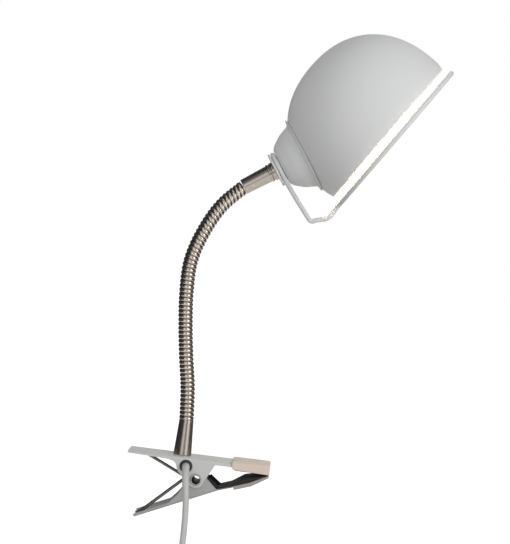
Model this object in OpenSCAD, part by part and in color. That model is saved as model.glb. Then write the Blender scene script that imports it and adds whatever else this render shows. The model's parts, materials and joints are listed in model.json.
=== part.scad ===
// Clip on reading lamp: spring clip, gooseneck, lampholder cup, dome shade, wire guard and lead.
// Millimetres. The origin is on the upper jaw's grip face; +X to the jaw tips, +Z up the neck.

/* [Clip] */
// Outside width of the upper arm
arm_w = 29; // [27:0.5:33]
// Thickness of the pressed sheet in both arms
sheet_t = 1.2; // [1:0.1:1.4]
// Length of the upper arm behind the grip face's centre
handle_len = 96; // [90:1:104]
// Length of both arms in front of the grip face's centre
tip_len = 9.6; // [8.6:0.2:9.8]
// Height of the upper arm's outer face above the grip face
arm_top = 5.7; // [5.3:0.1:6.3]
// Distance of the pivot behind the grip face's centre
pivot_back = 43; // [42.6:0.1:43.4]
// Depth of the pivot below the grip face
pivot_drop = 10; // [9.8:0.1:10.6]
// Angle of the lower arm at rest
jaw_rest = 24.5; // [24.5:0.1:25.5]
// Length of the lower handle behind the pivot
lower_handle = 52.8; // [48:0.4:58]
// Radius of the pivot tube's bore
pivot_bore = 3.1; // [2.6:0.1:3.2]
// Radius of the hole that the lead leaves by
lead_hole_r = 3.75; // [3.65:0.05:4]
// Thickness of the tip sleeves
sleeve_t = 1.4; // [1:0.1:1.6]
// Diameter of the spring's wire
wire_d = 2.4; // [2:0.1:2.6]

/* [Neck] */
// Distance of the neck's foot behind the grip face's centre
post_back = 56; // [55:0.5:60]
// Height of the tapered foot ferrule
foot_len = 27; // [22:1:34]
// Radius of the foot ferrule where it stands on the arm
foot_r = 6.8; // [6.4:0.1:8]
// Outside radius of the gooseneck
neck_r = 5.5; // [5.3:0.1:6]
// Length of each length of gooseneck
link_len = 24; // [20:0.5:28]
// Length of the last length of gooseneck
last_link_len = 19.7; // [16:0.5:24]
// Radius of the wire way through the neck
wire_way_r = 2.2; // [1.6:0.1:2.6]

/* [Head] */
// Length of the ferrule under the lampholder
head_ferrule_len = 26.6; // [22:0.2:32]
// Radius of the round plate behind the cup
disc_r = 13; // [12:0.5:15]
// Radius of the cup's lip
lip_r = 29.6; // [29:0.1:31]
// Largest outside radius of the shade
shade_r = 63.6; // [62.6:0.2:64.4]
// Depth of the shade behind its widest plane
shade_depth = 66.4; // [65.8:0.2:67]
// Depth of the shade's rim in front of its widest plane
rim_len = 9.4; // [6:0.2:12]
// Thickness of the shade's wall
shade_t = 1; // [0.8:0.1:1.2]
// Angle between the cup's axis and the shade's axis
shade_turn = 68; // [66:0.5:70]
// Radius of the guard's ring, to the middle of its rod
guard_r = 63.4; // [62:0.2:66]
// Diameter of the guard's rod
guard_rod_d = 3.4; // [2.8:0.1:3.6]
// Distance from the shade's rim to the guard's ring
guard_gap = 7.6; // [5:0.2:9]
// Distance from the neck's axis to the middle of the bend at the guard's corner
guard_corner = 44; // [40:0.5:50]
// Radius of the bend at the guard's corner
guard_bend = 3.2; // [2.6:0.1:5]
// Radius of the bulb's glass tube
bulb_r = 12.8; // [11:0.1:13.2]

/* [Lead] */
// Diameter of the mains lead
lead_d = 4.6; // [4:0.1:4.6]
// Mean radius of the stored coil
coil_r = 27; // [26:0.5:29]
// Length of the switch on the lead
switch_len = 58; // [56:1:64]
// Width of the switch on the lead
switch_w = 22; // [22:0.5:26]
// Thickness of the switch on the lead
switch_h = 16; // [16:0.5:20]
// Distance between the plug's pins
pin_gap = 19; // [18:0.2:20]
// Radius of the plug's pins
pin_r = 2; // [1.8:0.1:2.2]
// Length of the plug's pins outside the body
pin_len = 19; // [16:0.5:20]
// Length of the insulated root of each pin
pin_root = 10; // [8:0.5:11]

/* [Hidden] */
$fn = 64;

// Clearances
fit = 0.05;         // radial clearance of a shaft in its bore
side_gap = 0.3;     // gap between parts that slide past each other
eps = 0.01;         // overlap of cutting tools past a face

// Clip
half_w = arm_w / 2;
lower_half_w = half_w - sheet_t - side_gap;
plate_under = arm_top - sheet_t;
bend_r = 2.4;
flange_drop = 2.9;          // depth of the plain side flanges below the arm's outer face
lower_plate = 13;           // depth of the lower arm's outer face below the pivot
lower_flange = 2.5;         // height of the lower arm's plain side flanges
ear_r = 6;                  // radius of the upper ears round the pivot
tube_r = pivot_bore + 0.8;
rim_r = tube_r + 1.3;
rim_t = 0.8;
coil_mean_r = tube_r + side_gap + wire_d / 2;
spring_half_w = 9.5;
spring_turns = 2.5;
lead_hole = [-51.4, -0.7];  // middle of the lead's hole, X and Z
hole_boss_r = lead_hole_r + 3.4;

// Neck
foot_top = arm_top + foot_len;
foot_top_r = neck_r - 0.2;
tilts = [-3, -8, -7.5, -5, 1.5, 17, 27, 40.6];      // lean of each length from upright
n_links = len(tilts);
link_lens = [for (i = [0 : n_links - 1]) i < n_links - 1 ? link_len : last_link_len];
function link_step(i) = link_lens[i] * [sin(tilts[i]), 0, cos(tilts[i])];
function link_start(i) = i == 0 ? [-post_back, 0, foot_top] : link_start(i - 1) + link_step(i - 1);
ball_r = neck_r - 0.9;
shoulder = 2.6;             // distance from a hinge down to the shoulder under its ball
skirt = 0.5;                // distance from a hinge up to the next length's rim

// Base fastening
washer_t = 0.8;
nut_t = 2.2;
base_nipple_r = 4;
base_nipple_top = arm_top + 14;

// Head, along its own axis from the end of the gooseneck
head_at = link_start(n_links);
head_tilt = 55.5;
head_nipple_r = 5;
nipple_len = 22;
nipple_from = head_ferrule_len - 12.6;
disc_t = 1.6;
disc_front = head_ferrule_len + disc_t;
cup_back = disc_front + 4;
cup_t = 1.2;
lip_t = 1.1;
spigot_r = 9.7;
body_r = 13.2;
body_end = disc_front + 29.8;
collar_r = 16.5;
collar_t = 2.1;
socket_r = 7.3;
socket_floor = disc_front + 10.8;
guard_turn_r = spigot_r + 1.7;

// Shade, from the widest plane's middle
shade_power = 2.25;
rim_curve = 48;
seat_depth = 13.1;          // from the cup's back to the shade's outside on the head's axis
shade_shift = 5.2;          // distance of the shade's middle from the head's axis
seat_gap = 0.35;            // gap between the shade and what it seats on
// Distance from the shade's middle to its outside, at angle a from its axis
function shade_reach(a) = pow(pow(sin(a) / shade_r, shade_power)
    + pow(cos(a) / shade_depth, shade_power), -1 / shade_power);
shade_mid = [shade_shift, 0, cup_back + seat_depth + shade_reach(shade_turn)];
// Height of the point at radius r and angle f that lies gap outside the shade, found from a
// guess d of its distance from the shade's middle, bettered n times
function seat_at(r, gap, f, d, n) = let (x = r * cos(f) - shade_mid[0], y = r * sin(f),
    z = sqrt(d * d - x * x - y * y), a = acos((z * cos(shade_turn) - x * sin(shade_turn)) / d))
    n == 0 ? shade_mid[2] - z : seat_at(r, gap, f, shade_reach(min(90, a)) + gap, n - 1);
function seats(r, gap) =
    [for (f = [0 : 15 : 180]) seat_at(r, gap, f, shade_reach(shade_turn) + gap, 4)];
// Height of a round seat at radius r that stays gap outside the shade all the way round
function shade_seat(r, gap) = min(seats(r, gap));
lip_at = shade_seat(lip_r, seat_gap);
shade_hole_r = body_r + 0.8;
collar_at = min(shade_seat(shade_hole_r, seat_gap), shade_seat(collar_r, seat_gap));
shade_steps = 18;
function shade_outer(z, grow) = z < 0
    ? (shade_r + grow) * pow(1 - pow(min(1, -z / (shade_depth + grow)), shade_power), 1 / shade_power)
    : (shade_r + grow) * sqrt(1 - pow(z / rim_curve, 2));
// Profile points from the crown to the rim, closer together near the crown
function shade_profile(grow) = concat(
    [for (i = [0 : shade_steps]) let (z = -(shade_depth + grow) * cos(90 * i / shade_steps))
        [shade_outer(z, grow), z]],
    [[shade_outer(rim_len / 2, grow), rim_len / 2], [shade_outer(rim_len, grow), rim_len]]);
function reversed(list) = [for (i = [len(list) - 1 : -1 : 0]) list[i]];

// Guard, in the head's frame
guard_out = [cos(shade_turn), 0, -sin(shade_turn)];     // from the ring's middle to its lowest point
guard_lift = 0.9;       // ring's middle above the shade's axis
guard_slope = 2;        // rise of the guard's leg on its way to the corner
guard_mid = shade_mid + (rim_len + guard_gap) * [sin(shade_turn), 0, cos(shade_turn)]
    - guard_lift * guard_out;
guard_foot = disc_front + 2;
rod_gap = guard_rod_d / 2 + 0.3;

// Bulb
contact_len = 12;       // side contact of the lampholder, from the socket's floor
cap_r = 6.9;
cap_from = socket_floor + 1.5;
cap_end = body_end - 0.5;
tube_from = body_end + 10;
tube_to = tube_from + 32;
glass_t = 0.7;

// Lead: the middle line from the grommet to the switch, and the fixed stretches below it
hang = [-46, -35];          // X and Y of the hanging stretch
switch_top = -75;
switch_mid = [hang[0], hang[1], switch_top - switch_len / 2];
switch_end = switch_top - switch_len;
entry = 3;                  // depth of the lead inside the switch
layer = 4.8;                // distance between neighbouring turns of the coil
coil_outer = coil_r + layer / 2;
coil_mid = [hang[0] + coil_outer, hang[1] + 1.5 * layer, switch_end - 34];
tail_y = hang[1] + 3 * layer;
tail_bend = 20;
tail_turn = [coil_mid[0], tail_y, coil_mid[2] - coil_outer - tail_bend];
plug_at = [tail_turn[0] + tail_bend, tail_y, tail_turn[2] - 6];
relief_points = [[-51.4, -12.5, -0.7], [-51.4, -15, -0.7], [-50.9, -22.7, -2.2],
    [-50, -29.1, -6.6], [-48.8, -33.5, -13]];
hanging_points = [[-48.8, -33.5, -13], [-47.6, -35, -20.7], [-46.7, -35, -30], [-46.2, -35, -40],
    [-46, -35, -52], [-46, -35, -64], [-46, -35, -78]];
inner_points = [[-56, 0, 9], [-56, 0, 3], [-55.6, -1.5, -1], [-54.4, -5, -3], [-52.6, -8.6, -2],
    [-51.4, -12.5, -0.7]];

// ---- Sweeping a round rod along points ----
function unit(v) = v / norm(v);
// Point on the smooth curve through b and c, with neighbours a and d, at share t
function smooth_at(a, b, c, d, t) = 0.5 * ((2 * b) + (c - a) * t
    + (2 * a - 5 * b + 4 * c - d) * t * t + (3 * b - a - 3 * c + d) * t * t * t);
function smooth_open(p, n) = let (last = len(p) - 1) concat(
    [for (i = [0 : last - 1], k = [0 : n - 1]) smooth_at(
        i == 0 ? 2 * p[0] - p[1] : p[i - 1], p[i], p[i + 1],
        i == last - 1 ? 2 * p[last] - p[last - 1] : p[i + 2], k / n)], [p[last]]);
function smooth_closed(p, n) = let (m = len(p))
    [for (i = [0 : m - 1], k = [0 : n - 1])
        smooth_at(p[(i + m - 1) % m], p[i], p[(i + 1) % m], p[(i + 2) % m], k / n)];
function ring_points(c, dir, side, r, n) = let (u = unit(cross(dir, side)), v = cross(unit(dir), u))
    [for (k = [0 : n - 1]) c + r * (cos(360 * k / n) * u + sin(360 * k / n) * v)];
function ring_faces(a, b, n) = [for (k = [0 : n - 1]) let (m = (k + 1) % n)
    each [[a * n + k, b * n + k, b * n + m], [a * n + k, b * n + m, a * n + m]]];

// Rod along an open list of points, from radius r0 to r1; side is never along the route
module rod_open(p, r0, r1, side, n = 10) {
    last = len(p) - 1;
    points = [for (i = [0 : last]) each ring_points(p[i],
        p[min(i + 1, last)] - p[max(i - 1, 0)], side, r0 + (r1 - r0) * i / last, n)];
    walls = [for (i = [0 : last - 1]) each ring_faces(i, i + 1, n)];
    polyhedron(points, concat([[for (k = [0 : n - 1]) k]], walls,
        [[for (k = [n - 1 : -1 : 0]) last * n + k]]));
}
// Rod along a closed list of points
module rod_closed(p, r, side, n = 10) {
    m = len(p);
    points = [for (i = [0 : m - 1]) each ring_points(p[i], p[(i + 1) % m] - p[(i + m - 1) % m],
        side, r, n)];
    polyhedron(points, [for (i = [0 : m - 1]) each ring_faces(i, (i + 1) % m, n)]);
}
// Straight round bar from a to b
module bar(a, b, r) {
    d = b - a;
    translate(a) rotate([0, acos(d[2] / norm(d)), atan2(d[1], d[0])]) cylinder(h = norm(d), r = r);
}
// Cylinder along Y, centred at x and z, from y0 to y1
module along_y(x, z, y0, y1, r) {
    translate([x, y1, z]) rotate([90, 0, 0]) cylinder(h = y1 - y0, r = r);
}
// Outline in X and Z, thickened in Y from y0 to y1
module side_plate(y0, y1) {
    translate([0, y1, 0]) rotate([90, 0, 0]) linear_extrude(y1 - y0) children();
}
module ring(r_in, r_out, z0, z1) {
    translate([0, 0, z0]) difference() {
        cylinder(h = z1 - z0, r = r_out);
        translate([0, 0, -1]) cylinder(h = z1 - z0 + 2, r = r_in);
    }
}

// ---- Frames ----
module pivot_frame() { translate([-pivot_back, 0, -pivot_drop]) children(); }
module lower_frame() { pivot_frame() rotate([0, -jaw_rest, 0]) children(); }
module head_frame() { translate(head_at) rotate([0, head_tilt, 0]) children(); }
module shade_frame() { translate(shade_mid) rotate([0, shade_turn, 0]) children(); }

// ---- Clip ----
// Channel section in Y and Z: outer face up, legs down, from x0 to x1
module channel(w, top, depth, x0, x1) {
    module section(w, top, r) {
        translate([-w, top - depth]) square([2 * w, depth - r]);
        translate([-w + r, top - depth]) square([2 * (w - r), depth]);
        for (s = [-1, 1]) translate([s * (w - r), top - r]) circle(r = r);
    }
    translate([x0, 0, 0]) rotate([90, 0, 90]) linear_extrude(x1 - x0) difference() {
        section(w, top, bend_r);
        translate([0, -eps]) section(w - sheet_t, top - sheet_t + eps, bend_r - sheet_t);
    }
}
module upper_outline() {
    polygon([[-handle_len, arm_top], [tip_len, arm_top], [tip_len, arm_top - flange_drop],
        [-29.8, arm_top - flange_drop - 0.15], [-64.6, arm_top - flange_drop + 0.25],
        [-handle_len, arm_top - 1.8]]);
    polygon([[-66, arm_top], [-66, 3], [-61.6, 2.1], [-59.4, 0.4], [-58.6, -1.5],
        [-56.9, -5.3], [-47.4, -14.1], [-pivot_back, -pivot_drop], [-37, -10.6], [-35.3, -7.7],
        [-33.7, -4.6], [-29.8, arm_top - flange_drop - 0.15], [-29.8, arm_top]]);
    translate(lead_hole) circle(r = hole_boss_r);
    translate([-pivot_back, -pivot_drop]) circle(r = ear_r);
}
module upper_jaw() {
    color("whitesmoke") difference() {
        intersection() {
            channel(half_w, arm_top, 30, -handle_len, tip_len);
            side_plate(-half_w - 1, half_w + 1) upper_outline();
        }
        along_y(-pivot_back, -pivot_drop, -20, 20, tube_r + fit);
        along_y(lead_hole[0], lead_hole[1], -20, -5, lead_hole_r);
        translate([-post_back, 0, 0]) cylinder(h = 20, r = base_nipple_r + fit);
    }
}
// Lower arm's outer face in front of the ears, in its own frame
lower_front = [[12.9, -lower_plate], [24.1, -lower_plate - 1.3], [37.9, -lower_plate - 2.6],
    [tip_len + 39.4, -lower_plate - 1.2]];
function raised(p, h) = [for (q = p) [q[0], q[1] + h]];
module lower_outline() {
    polygon([[-lower_handle, -lower_plate], [12.9, -lower_plate], [12.4, -lower_plate + sheet_t],
        [7.9, -1.2], [0, 6], [-9, -1.1], [-15.1, -5.65], [-18.5, -7.5],
        [-25, -lower_plate + lower_flange], [-lower_handle, -lower_plate + lower_flange]]);
    circle(r = ear_r);
}
module lower_jaw() {
    color("whitesmoke") lower_frame() difference() {
        union() {
            intersection() {
                mirror([0, 0, 1]) channel(lower_half_w, lower_plate, 30, -lower_handle, 12.9);
                side_plate(-half_w, half_w) lower_outline();
            }
            side_plate(-lower_half_w + bend_r, lower_half_w - bend_r)
                polygon(concat([[11, -lower_plate]], lower_front,
                    reversed(raised(lower_front, sheet_t)), [[11, -lower_plate + sheet_t]]));
        }
        along_y(0, 0, -20, 20, tube_r + fit);
    }
}
module upper_tip_sleeve() {
    x0 = -17.6;
    x1 = tip_len + sleeve_t;
    w = half_w + sleeve_t;
    top = arm_top + sleeve_t;
    color("linen") difference() {
        side_plate(-w, w) polygon([[x0, top - 0.5], [x0 + 2, top], [x1 - 1, top], [x1, top - 1],
            [x1, 0.2], [x0 + 1.4, 0.9], [x0, 3.4]]);
        translate([x0 - 1, -half_w - fit, -5])
            cube([tip_len - x0 + 1 + fit, arm_w + 2 * fit, arm_top + 5 + fit]);
    }
}
module lower_tip_sleeve() {
    x0 = 24.9;
    x1 = tip_len + 42.8;
    w = lower_half_w + sleeve_t;
    outer = [[x0, -lower_plate - sheet_t - 1.5], [37.9, -lower_plate - 2.6 - sleeve_t],
        [x1, -lower_plate - 2.1]];
    inner = [[x0 - 1, -lower_plate - 1.35], [37.9, -lower_plate - 2.6 - fit],
        [tip_len + 39.4 + fit, -lower_plate - 1.2 - fit]];
    color("linen") lower_frame() difference() {
        side_plate(-w, w) polygon(concat(outer, [[x1, -lower_plate - 0.75],
            [x1 - 1, -lower_plate - 0.5], [37.9, -lower_plate - 1.1], [x0, -lower_plate + 0.05]]));
        side_plate(-lower_half_w - fit, lower_half_w + fit)
            polygon(concat(inner, [[tip_len + 39.4 + fit, 0], [x0 - 1, 0]]));
    }
}
module upper_grip_pad() {
    w = half_w - bend_r - fit;
    color("dimgray") side_plate(-w, w)
        polygon([[-16.6, plate_under], [tip_len, plate_under], [tip_len, 0], [-14.6, 0],
            [-16.6, 1.6]]);
}
module lower_grip_liner() {
    end = tip_len + 39.4;
    bed = raised(lower_front, sheet_t);
    color("darkslategray") lower_frame() {
        side_plate(-lower_half_w + 0.05, lower_half_w - 0.05)
            polygon(concat([[14.2, bed[0][1] - 0.15]], [for (i = [1 : 3]) bed[i]],
                [[end + 0.1, -lower_plate - 0.5], [end + 2.4, -lower_plate - 0.4],
                [end + 3.1, -lower_plate - 0.25], [34.5, -lower_plate + 3],
                [23.5, -lower_plate + 1.1], [14.2, -lower_plate + 1.9]]));
        for (s = [-1, 1]) scale([1, s, 1])
            side_plate(lower_half_w - bend_r - 1.5, lower_half_w - bend_r - fit)
                polygon([[5.6, -lower_plate + sheet_t], [14.4, -lower_plate + sheet_t],
                    [15.4, -lower_plate + 1.4], [10.2, -2.2], [8.2, -2.6]]);
    }
}
module pivot_tube() {
    color("silver") pivot_frame() rotate([90, 0, 0]) {
        ring(pivot_bore, tube_r, -half_w - rim_t, half_w + rim_t);
        for (z = [-half_w - rim_t, half_w]) ring(tube_r - eps, rim_r, z, z + rim_t);
    }
}
// Half of the torsion spring: a helix along Y round the pivot from angle leave, and a straight
// leg that runs leg_len from there in direction leg_dir and ends in a short foot
function on_coil(a, y) = [coil_mean_r * cos(a), y, coil_mean_r * sin(a)];
module spring_half(leave, turn, y_leg, y_end, leg_dir, leg_len, foot_dir) {
    n = 14;
    turns = [for (i = [0 : n * spring_turns])
        on_coil(leave + turn * 360 * i / n, y_leg + (y_end - y_leg) * i / (n * spring_turns))];
    start = turns[0];
    leg_end = start + leg_len * leg_dir;
    rod_open(concat([leg_end + 4 * foot_dir, leg_end + 0.6 * foot_dir, leg_end - 0.6 * leg_dir,
        start + 0.5 * leg_len * leg_dir, start + 0.6 * leg_dir], turns), wire_d / 2, wire_d / 2,
        [0.05, 1, 0.05], 8);
}
upper_leg = 24;     // slope of the upper leg below the upper handle
lower_leg = 43.5;   // slope of the lower leg above the lower handle
module spring_upper_half() {
    color("dimgray") pivot_frame() spring_half(-90 - upper_leg, 1, spring_half_w - wire_d / 2,
        side_gap / 2 + wire_d / 2, [-cos(upper_leg), 0, sin(upper_leg)], 44.2, [-1, 0, 0]);
}
module spring_lower_half() {
    color("silver") pivot_frame() spring_half(90 + lower_leg, -1, -spring_half_w + wire_d / 2,
        -side_gap / 2 - wire_d / 2, [-cos(lower_leg), 0, -sin(lower_leg)], 48,
        [-cos(jaw_rest), 0, -sin(jaw_rest)]);
}
module cord_grommet() {
    color("black") translate([lead_hole[0], 0, lead_hole[1]]) rotate([90, 0, 0]) {
        ring(lead_hole_r - 0.5, lead_hole_r - fit, half_w - sheet_t - 1, half_w + 0.3);
        ring(lead_hole_r - 0.5, lead_hole_r + 1, half_w - bend_r - 1, half_w - bend_r);
        ring(lead_hole_r - 0.5, lead_hole_r - fit, half_w - bend_r - fit, half_w - sheet_t);
    }
}

// ---- Foot of the neck ----
module base_ferrule() {
    color("silver") translate([-post_back, 0, 0]) difference() {
        translate([0, 0, arm_top]) cylinder(h = foot_len, r1 = foot_r, r2 = foot_top_r);
        cylinder(h = 100, r = wire_way_r + 0.7);
        cylinder(h = base_nipple_top, r = base_nipple_r + fit);
    }
}
module base_nipple() {
    color("goldenrod") translate([-post_back, 0, 0])
        ring(wire_way_r + 0.7, base_nipple_r, plate_under - washer_t - nut_t - 0.4, base_nipple_top);
}
module base_nut() {
    top = plate_under - washer_t;
    color("goldenrod") translate([-post_back, 0, top - nut_t]) difference() {
        cylinder(h = nut_t, r = 7, $fn = 6);
        translate([0, 0, -1]) cylinder(h = nut_t + 2, r = base_nipple_r + fit);
    }
}
module base_lock_washer() {
    color("silver") translate([-post_back, 0, 0])
        ring(base_nipple_r + fit, 6.8, plate_under - washer_t, plate_under);
}

// ---- Gooseneck ----
module neck_link(i) {
    first = i == 0;
    final = i == n_links - 1;
    length = link_lens[i];
    low = first ? -1 : skirt;
    color("rosybrown") difference() {
        translate(link_start(i)) rotate([0, tilts[i], 0]) difference() {
            union() {
                translate([0, 0, low])
                    cylinder(h = (final ? length + 4 : length - shoulder) - low, r = neck_r);
                if (!final) translate([0, 0, length]) sphere(r = ball_r);
                if (!final) translate([0, 0, length - shoulder - 1]) cylinder(h = shoulder, r = 3.6);
            }
            if (!first) sphere(r = ball_r + side_gap);
            translate([0, 0, -2]) cylinder(h = length + 10, r = wire_way_r);
        }
        if (final) head_frame() translate([-30, -30, 0]) cube(60);
        if (first) translate([-post_back - 30, -30, foot_top - 60]) cube(60);
    }
}

// ---- Head ----
module head_ferrule() {
    end = head_ferrule_len;
    color("silver") head_frame() difference() {
        rotate_extrude() polygon([[0, 0], [neck_r + 0.3, 0], [neck_r + 0.8, end - 5.1],
            [neck_r + 1.4, end - 5.1], [neck_r + 1.4, end - 3.6], [neck_r + 0.9, end - 3.6],
            [neck_r + 0.9, end - 2.4], [neck_r + 1.5, end - 2.4], [neck_r + 1.5, end], [0, end]]);
        translate([0, 0, -1]) cylinder(h = end + 2, r = wire_way_r + 1);
        translate([0, 0, nipple_from]) cylinder(h = end, r = head_nipple_r + fit);
    }
}
module head_nipple() {
    color("goldenrod") head_frame()
        ring(wire_way_r + 1, head_nipple_r, nipple_from, nipple_from + nipple_len);
}
module neck_disc() {
    color("white") head_frame() ring(head_nipple_r + fit, disc_r, head_ferrule_len, disc_front);
}
// Guard: one rod that loops round the spigot, runs down to a corner and opens into the ring
function on_guard(a, out = 0) = guard_mid + (guard_r + out) * cos(a) * guard_out
    + [0, guard_r * sin(a), 0];
guard_half = concat(
    [for (a = [180 : -24 : 60]) [guard_turn_r * cos(a), guard_turn_r * sin(a), guard_foot]],
    [[12.8, 5.6, guard_foot], [18, rod_gap, guard_foot + 0.2]],
    [for (share = [0.35, 0.65, 0.9]) [18 + share * (guard_corner - 18), rod_gap,
        guard_foot + guard_slope * share]],
    [for (a = [-90 : 32.5 : 7.5]) [guard_corner + guard_bend * cos(a), rod_gap,
        guard_foot + guard_slope + guard_bend * (1 + sin(a))]],
    [on_guard(2, 15), on_guard(2, 4.5), on_guard(5.5, 0.8)],
    [for (a = [12 : 12 : 168]) on_guard(a)]);
function mirror_y(p) = [p[0], -p[1], p[2]];
guard_path = concat(guard_half, [on_guard(180)],
    reversed([for (i = [1 : len(guard_half) - 1]) mirror_y(guard_half[i])]));
module guard_frame() {
    color("white") head_frame() rod_closed(smooth_closed(guard_path, 3), guard_rod_d / 2,
        [0.5, 0.7, 0.5], 10);
}
// Cup's outside from its back to its lip, each point as [radius, distance from the back]
cup_shape = [[13.5, 0], [14.6, 0.7], [16.2, 1.9], [18.9, 5.3], [21.5, 9.1], [23, 12.3], [25, 17.2]];
module holder_cup() {
    last = cup_shape[len(cup_shape) - 1];
    stretch = (shade_seat(last[0], seat_gap) - cup_back - 0.5) / last[1];
    outer = [for (q = cup_shape) [q[0], cup_back + q[1] * stretch]];
    inner = [for (q = reversed(outer)) [q[0] - cup_t, max(q[1] + 0.1, cup_back + cup_t)]];
    flare = [for (r = [lip_r - 0.5, lip_r - 2.4, last[0] + 0.2]) [r, shade_seat(r, seat_gap)]];
    color("white") head_frame() rotate_extrude() polygon(concat(
        [[spigot_r + fit, cup_back]], outer,
        [[last[0] + 1.4, lip_at - lip_t - 0.3], [lip_r - 0.4, lip_at - lip_t],
         [lip_r, lip_at - lip_t + 0.4], [lip_r, lip_at - 0.5]],
        flare, inner, [[spigot_r + fit, cup_back + cup_t]]));
}
module lampholder_body() {
    step = cup_back + cup_t;
    color("ivory") head_frame() rotate_extrude() polygon([
        [head_nipple_r + fit, disc_front], [spigot_r, disc_front], [spigot_r, step],
        [body_r, step], [body_r, collar_at - collar_t], [collar_r, collar_at - collar_t],
        [collar_r, collar_at], [body_r, collar_at], [body_r, body_end], [socket_r, body_end],
        [socket_r, socket_floor], [2, socket_floor], [2, nipple_from + nipple_len + 0.6],
        [head_nipple_r + fit, nipple_from + nipple_len + 0.6]]);
}
module holder_contacts() {
    color("gold") head_frame() {
        translate([-2.5, -4.5, socket_floor]) cube([5, 9, 0.6]);
        translate([0, 0, socket_floor + 0.6]) cylinder(h = 0.8, r1 = 2.2, r2 = 1.4);
        translate([cap_r + 0.06, -1.2, socket_floor]) cube([0.25, 2.4, contact_len]);
    }
}
module shade_ring() {
    z0 = max(seats(body_r + 5.3, -shade_t - seat_gap));
    color("ivory") head_frame() difference() {
        ring(body_r + fit, body_r + 5.3, z0, z0 + 4.4);
        for (a = [0 : 30 : 330]) rotate([0, 0, a]) translate([body_r + 6.2, 0, z0 + 1.6])
            cylinder(h = 5, r = 1.6);
    }
}
module shade_dome() {
    color("white") head_frame() difference() {
        shade_frame() rotate_extrude($fn = 96)
            polygon(concat(shade_profile(0), reversed(shade_profile(-shade_t))));
        translate([0, 0, disc_front]) cylinder(h = body_end - disc_front, r = shade_hole_r);
    }
}
module bulb_glass() {
    neck = cap_r - 0.7;
    arc = [for (a = [0 : 15 : 90]) [bulb_r * cos(a), tube_to + bulb_r * sin(a)]];
    arc_in = [for (a = [90 : -15 : 0]) [(bulb_r - glass_t) * cos(a),
        tube_to + (bulb_r - glass_t) * sin(a)]];
    color("lightyellow", 0.5) head_frame() rotate_extrude() polygon(concat(
        [[neck - glass_t, cap_end - 7], [neck, cap_end - 7], [neck, body_end - 0.1],
         [7.4, body_end + 0.6], [10, body_end + 3.2], [bulb_r - 0.6, tube_from - 2.8],
         [bulb_r, tube_from]], arc, arc_in,
        [[bulb_r - glass_t, tube_from], [bulb_r - 1.4, tube_from - 2.6], [9.2, body_end + 3.6],
         [6.7, body_end + 1], [neck - glass_t, body_end - 0.3]]));
}
module bulb_cap() {
    color("silver") head_frame() rotate_extrude() polygon([[0, cap_from - fit], [2.6, cap_from - fit],
        [3, cap_from + 0.6], [4.2, cap_from + 1.2], [cap_r, cap_from + 3.2], [cap_r, cap_end],
        [cap_r - 0.6, cap_end], [cap_r - 0.6, cap_from + 3.6], [4, cap_from + 2.2],
        [0, cap_from + 2.2]]);
}
module bulb_stem() {
    r = cap_r - 0.7 - glass_t - fit;
    color("lightyellow", 0.5) head_frame() rotate_extrude() polygon([[0, cap_end - 6.4],
        [r, cap_end - 6.4], [r, cap_end - 2], [2.6, body_end + 2], [2, body_end + 12],
        [0, body_end + 12.6]]);
}
module bulb_filament() {
    z0 = body_end + 8;
    z1 = body_end + 29;
    color("dimgray") head_frame() {
        for (s = [-1, 1]) bar([0, s * 2.1, z0], [0, s * 8, z1], 0.3);
        rod_open([for (a = [0 : 15 : 180]) [0, 8 * cos(a), z1 + 4 * sin(a)]], 0.5, 0.5, [1, 0, 0], 8);
    }
}

// ---- Lead ----
module strain_relief() {
    color("white") rod_open(smooth_open(relief_points, 3), lead_hole_r - 0.6, lead_d / 2 + 0.2,
        [1, 0.05, 0], 12);
}
module inner_lead() {
    color("white") rod_open(smooth_open(inner_points, 3), lead_d / 2, lead_d / 2, [1, 0.3, 0], 10);
}
module mains_cord() {
    color("white") rod_open(smooth_open(hanging_points, 2), lead_d / 2, lead_d / 2, [1, 0.05, 0], 10);
}
module cord_drop() {
    top = switch_end + entry;
    foot = coil_mid[2] + 0.3 + sqrt(pow(coil_r + layer, 2) - pow(coil_outer - lead_d / 2, 2));
    color("white") rod_open([for (i = [0 : 3]) [hang[0], hang[1], top + (foot - top) * i / 3]],
        lead_d / 2, lead_d / 2, [1, 0, 0], 10);
}
module cord_coil() {
    half_h = 2 * layer;
    half_r = layer;
    round_r = lead_d / 2;
    color("white") translate(coil_mid) rotate([90, 0, 0]) rotate_extrude() {
        translate([coil_r - half_r, -half_h + round_r]) square([2 * half_r, 2 * (half_h - round_r)]);
        translate([coil_r - half_r + round_r, -half_h])
            square([2 * (half_r - round_r), 2 * half_h]);
        for (a = [-1, 1], b = [-1, 1])
            translate([coil_r + a * (half_r - round_r), b * (half_h - round_r)]) circle(r = round_r);
    }
}
module cord_tail() {
    bend = [for (a = [60 : -12 : 0]) tail_turn + tail_bend * [cos(a), 0, sin(a)]];
    color("white") rod_open(concat(bend, [plug_at]), lead_d / 2, lead_d / 2, [0, 1, 0], 10);
}
module cord_tie() {
    wall = 1.2;
    gap = 0.3;
    hw = 2 * layer + gap;
    hr = layer + gap;
    color("black") translate(coil_mid + [0, 0, coil_r]) difference() {
        translate([-3, -hw - wall, -hr - wall]) cube([6, 2 * (hw + wall), 2 * (hr + wall)]);
        translate([-4, -hw, -hr]) cube([8, 2 * hw, 2 * hr]);
    }
}
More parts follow.
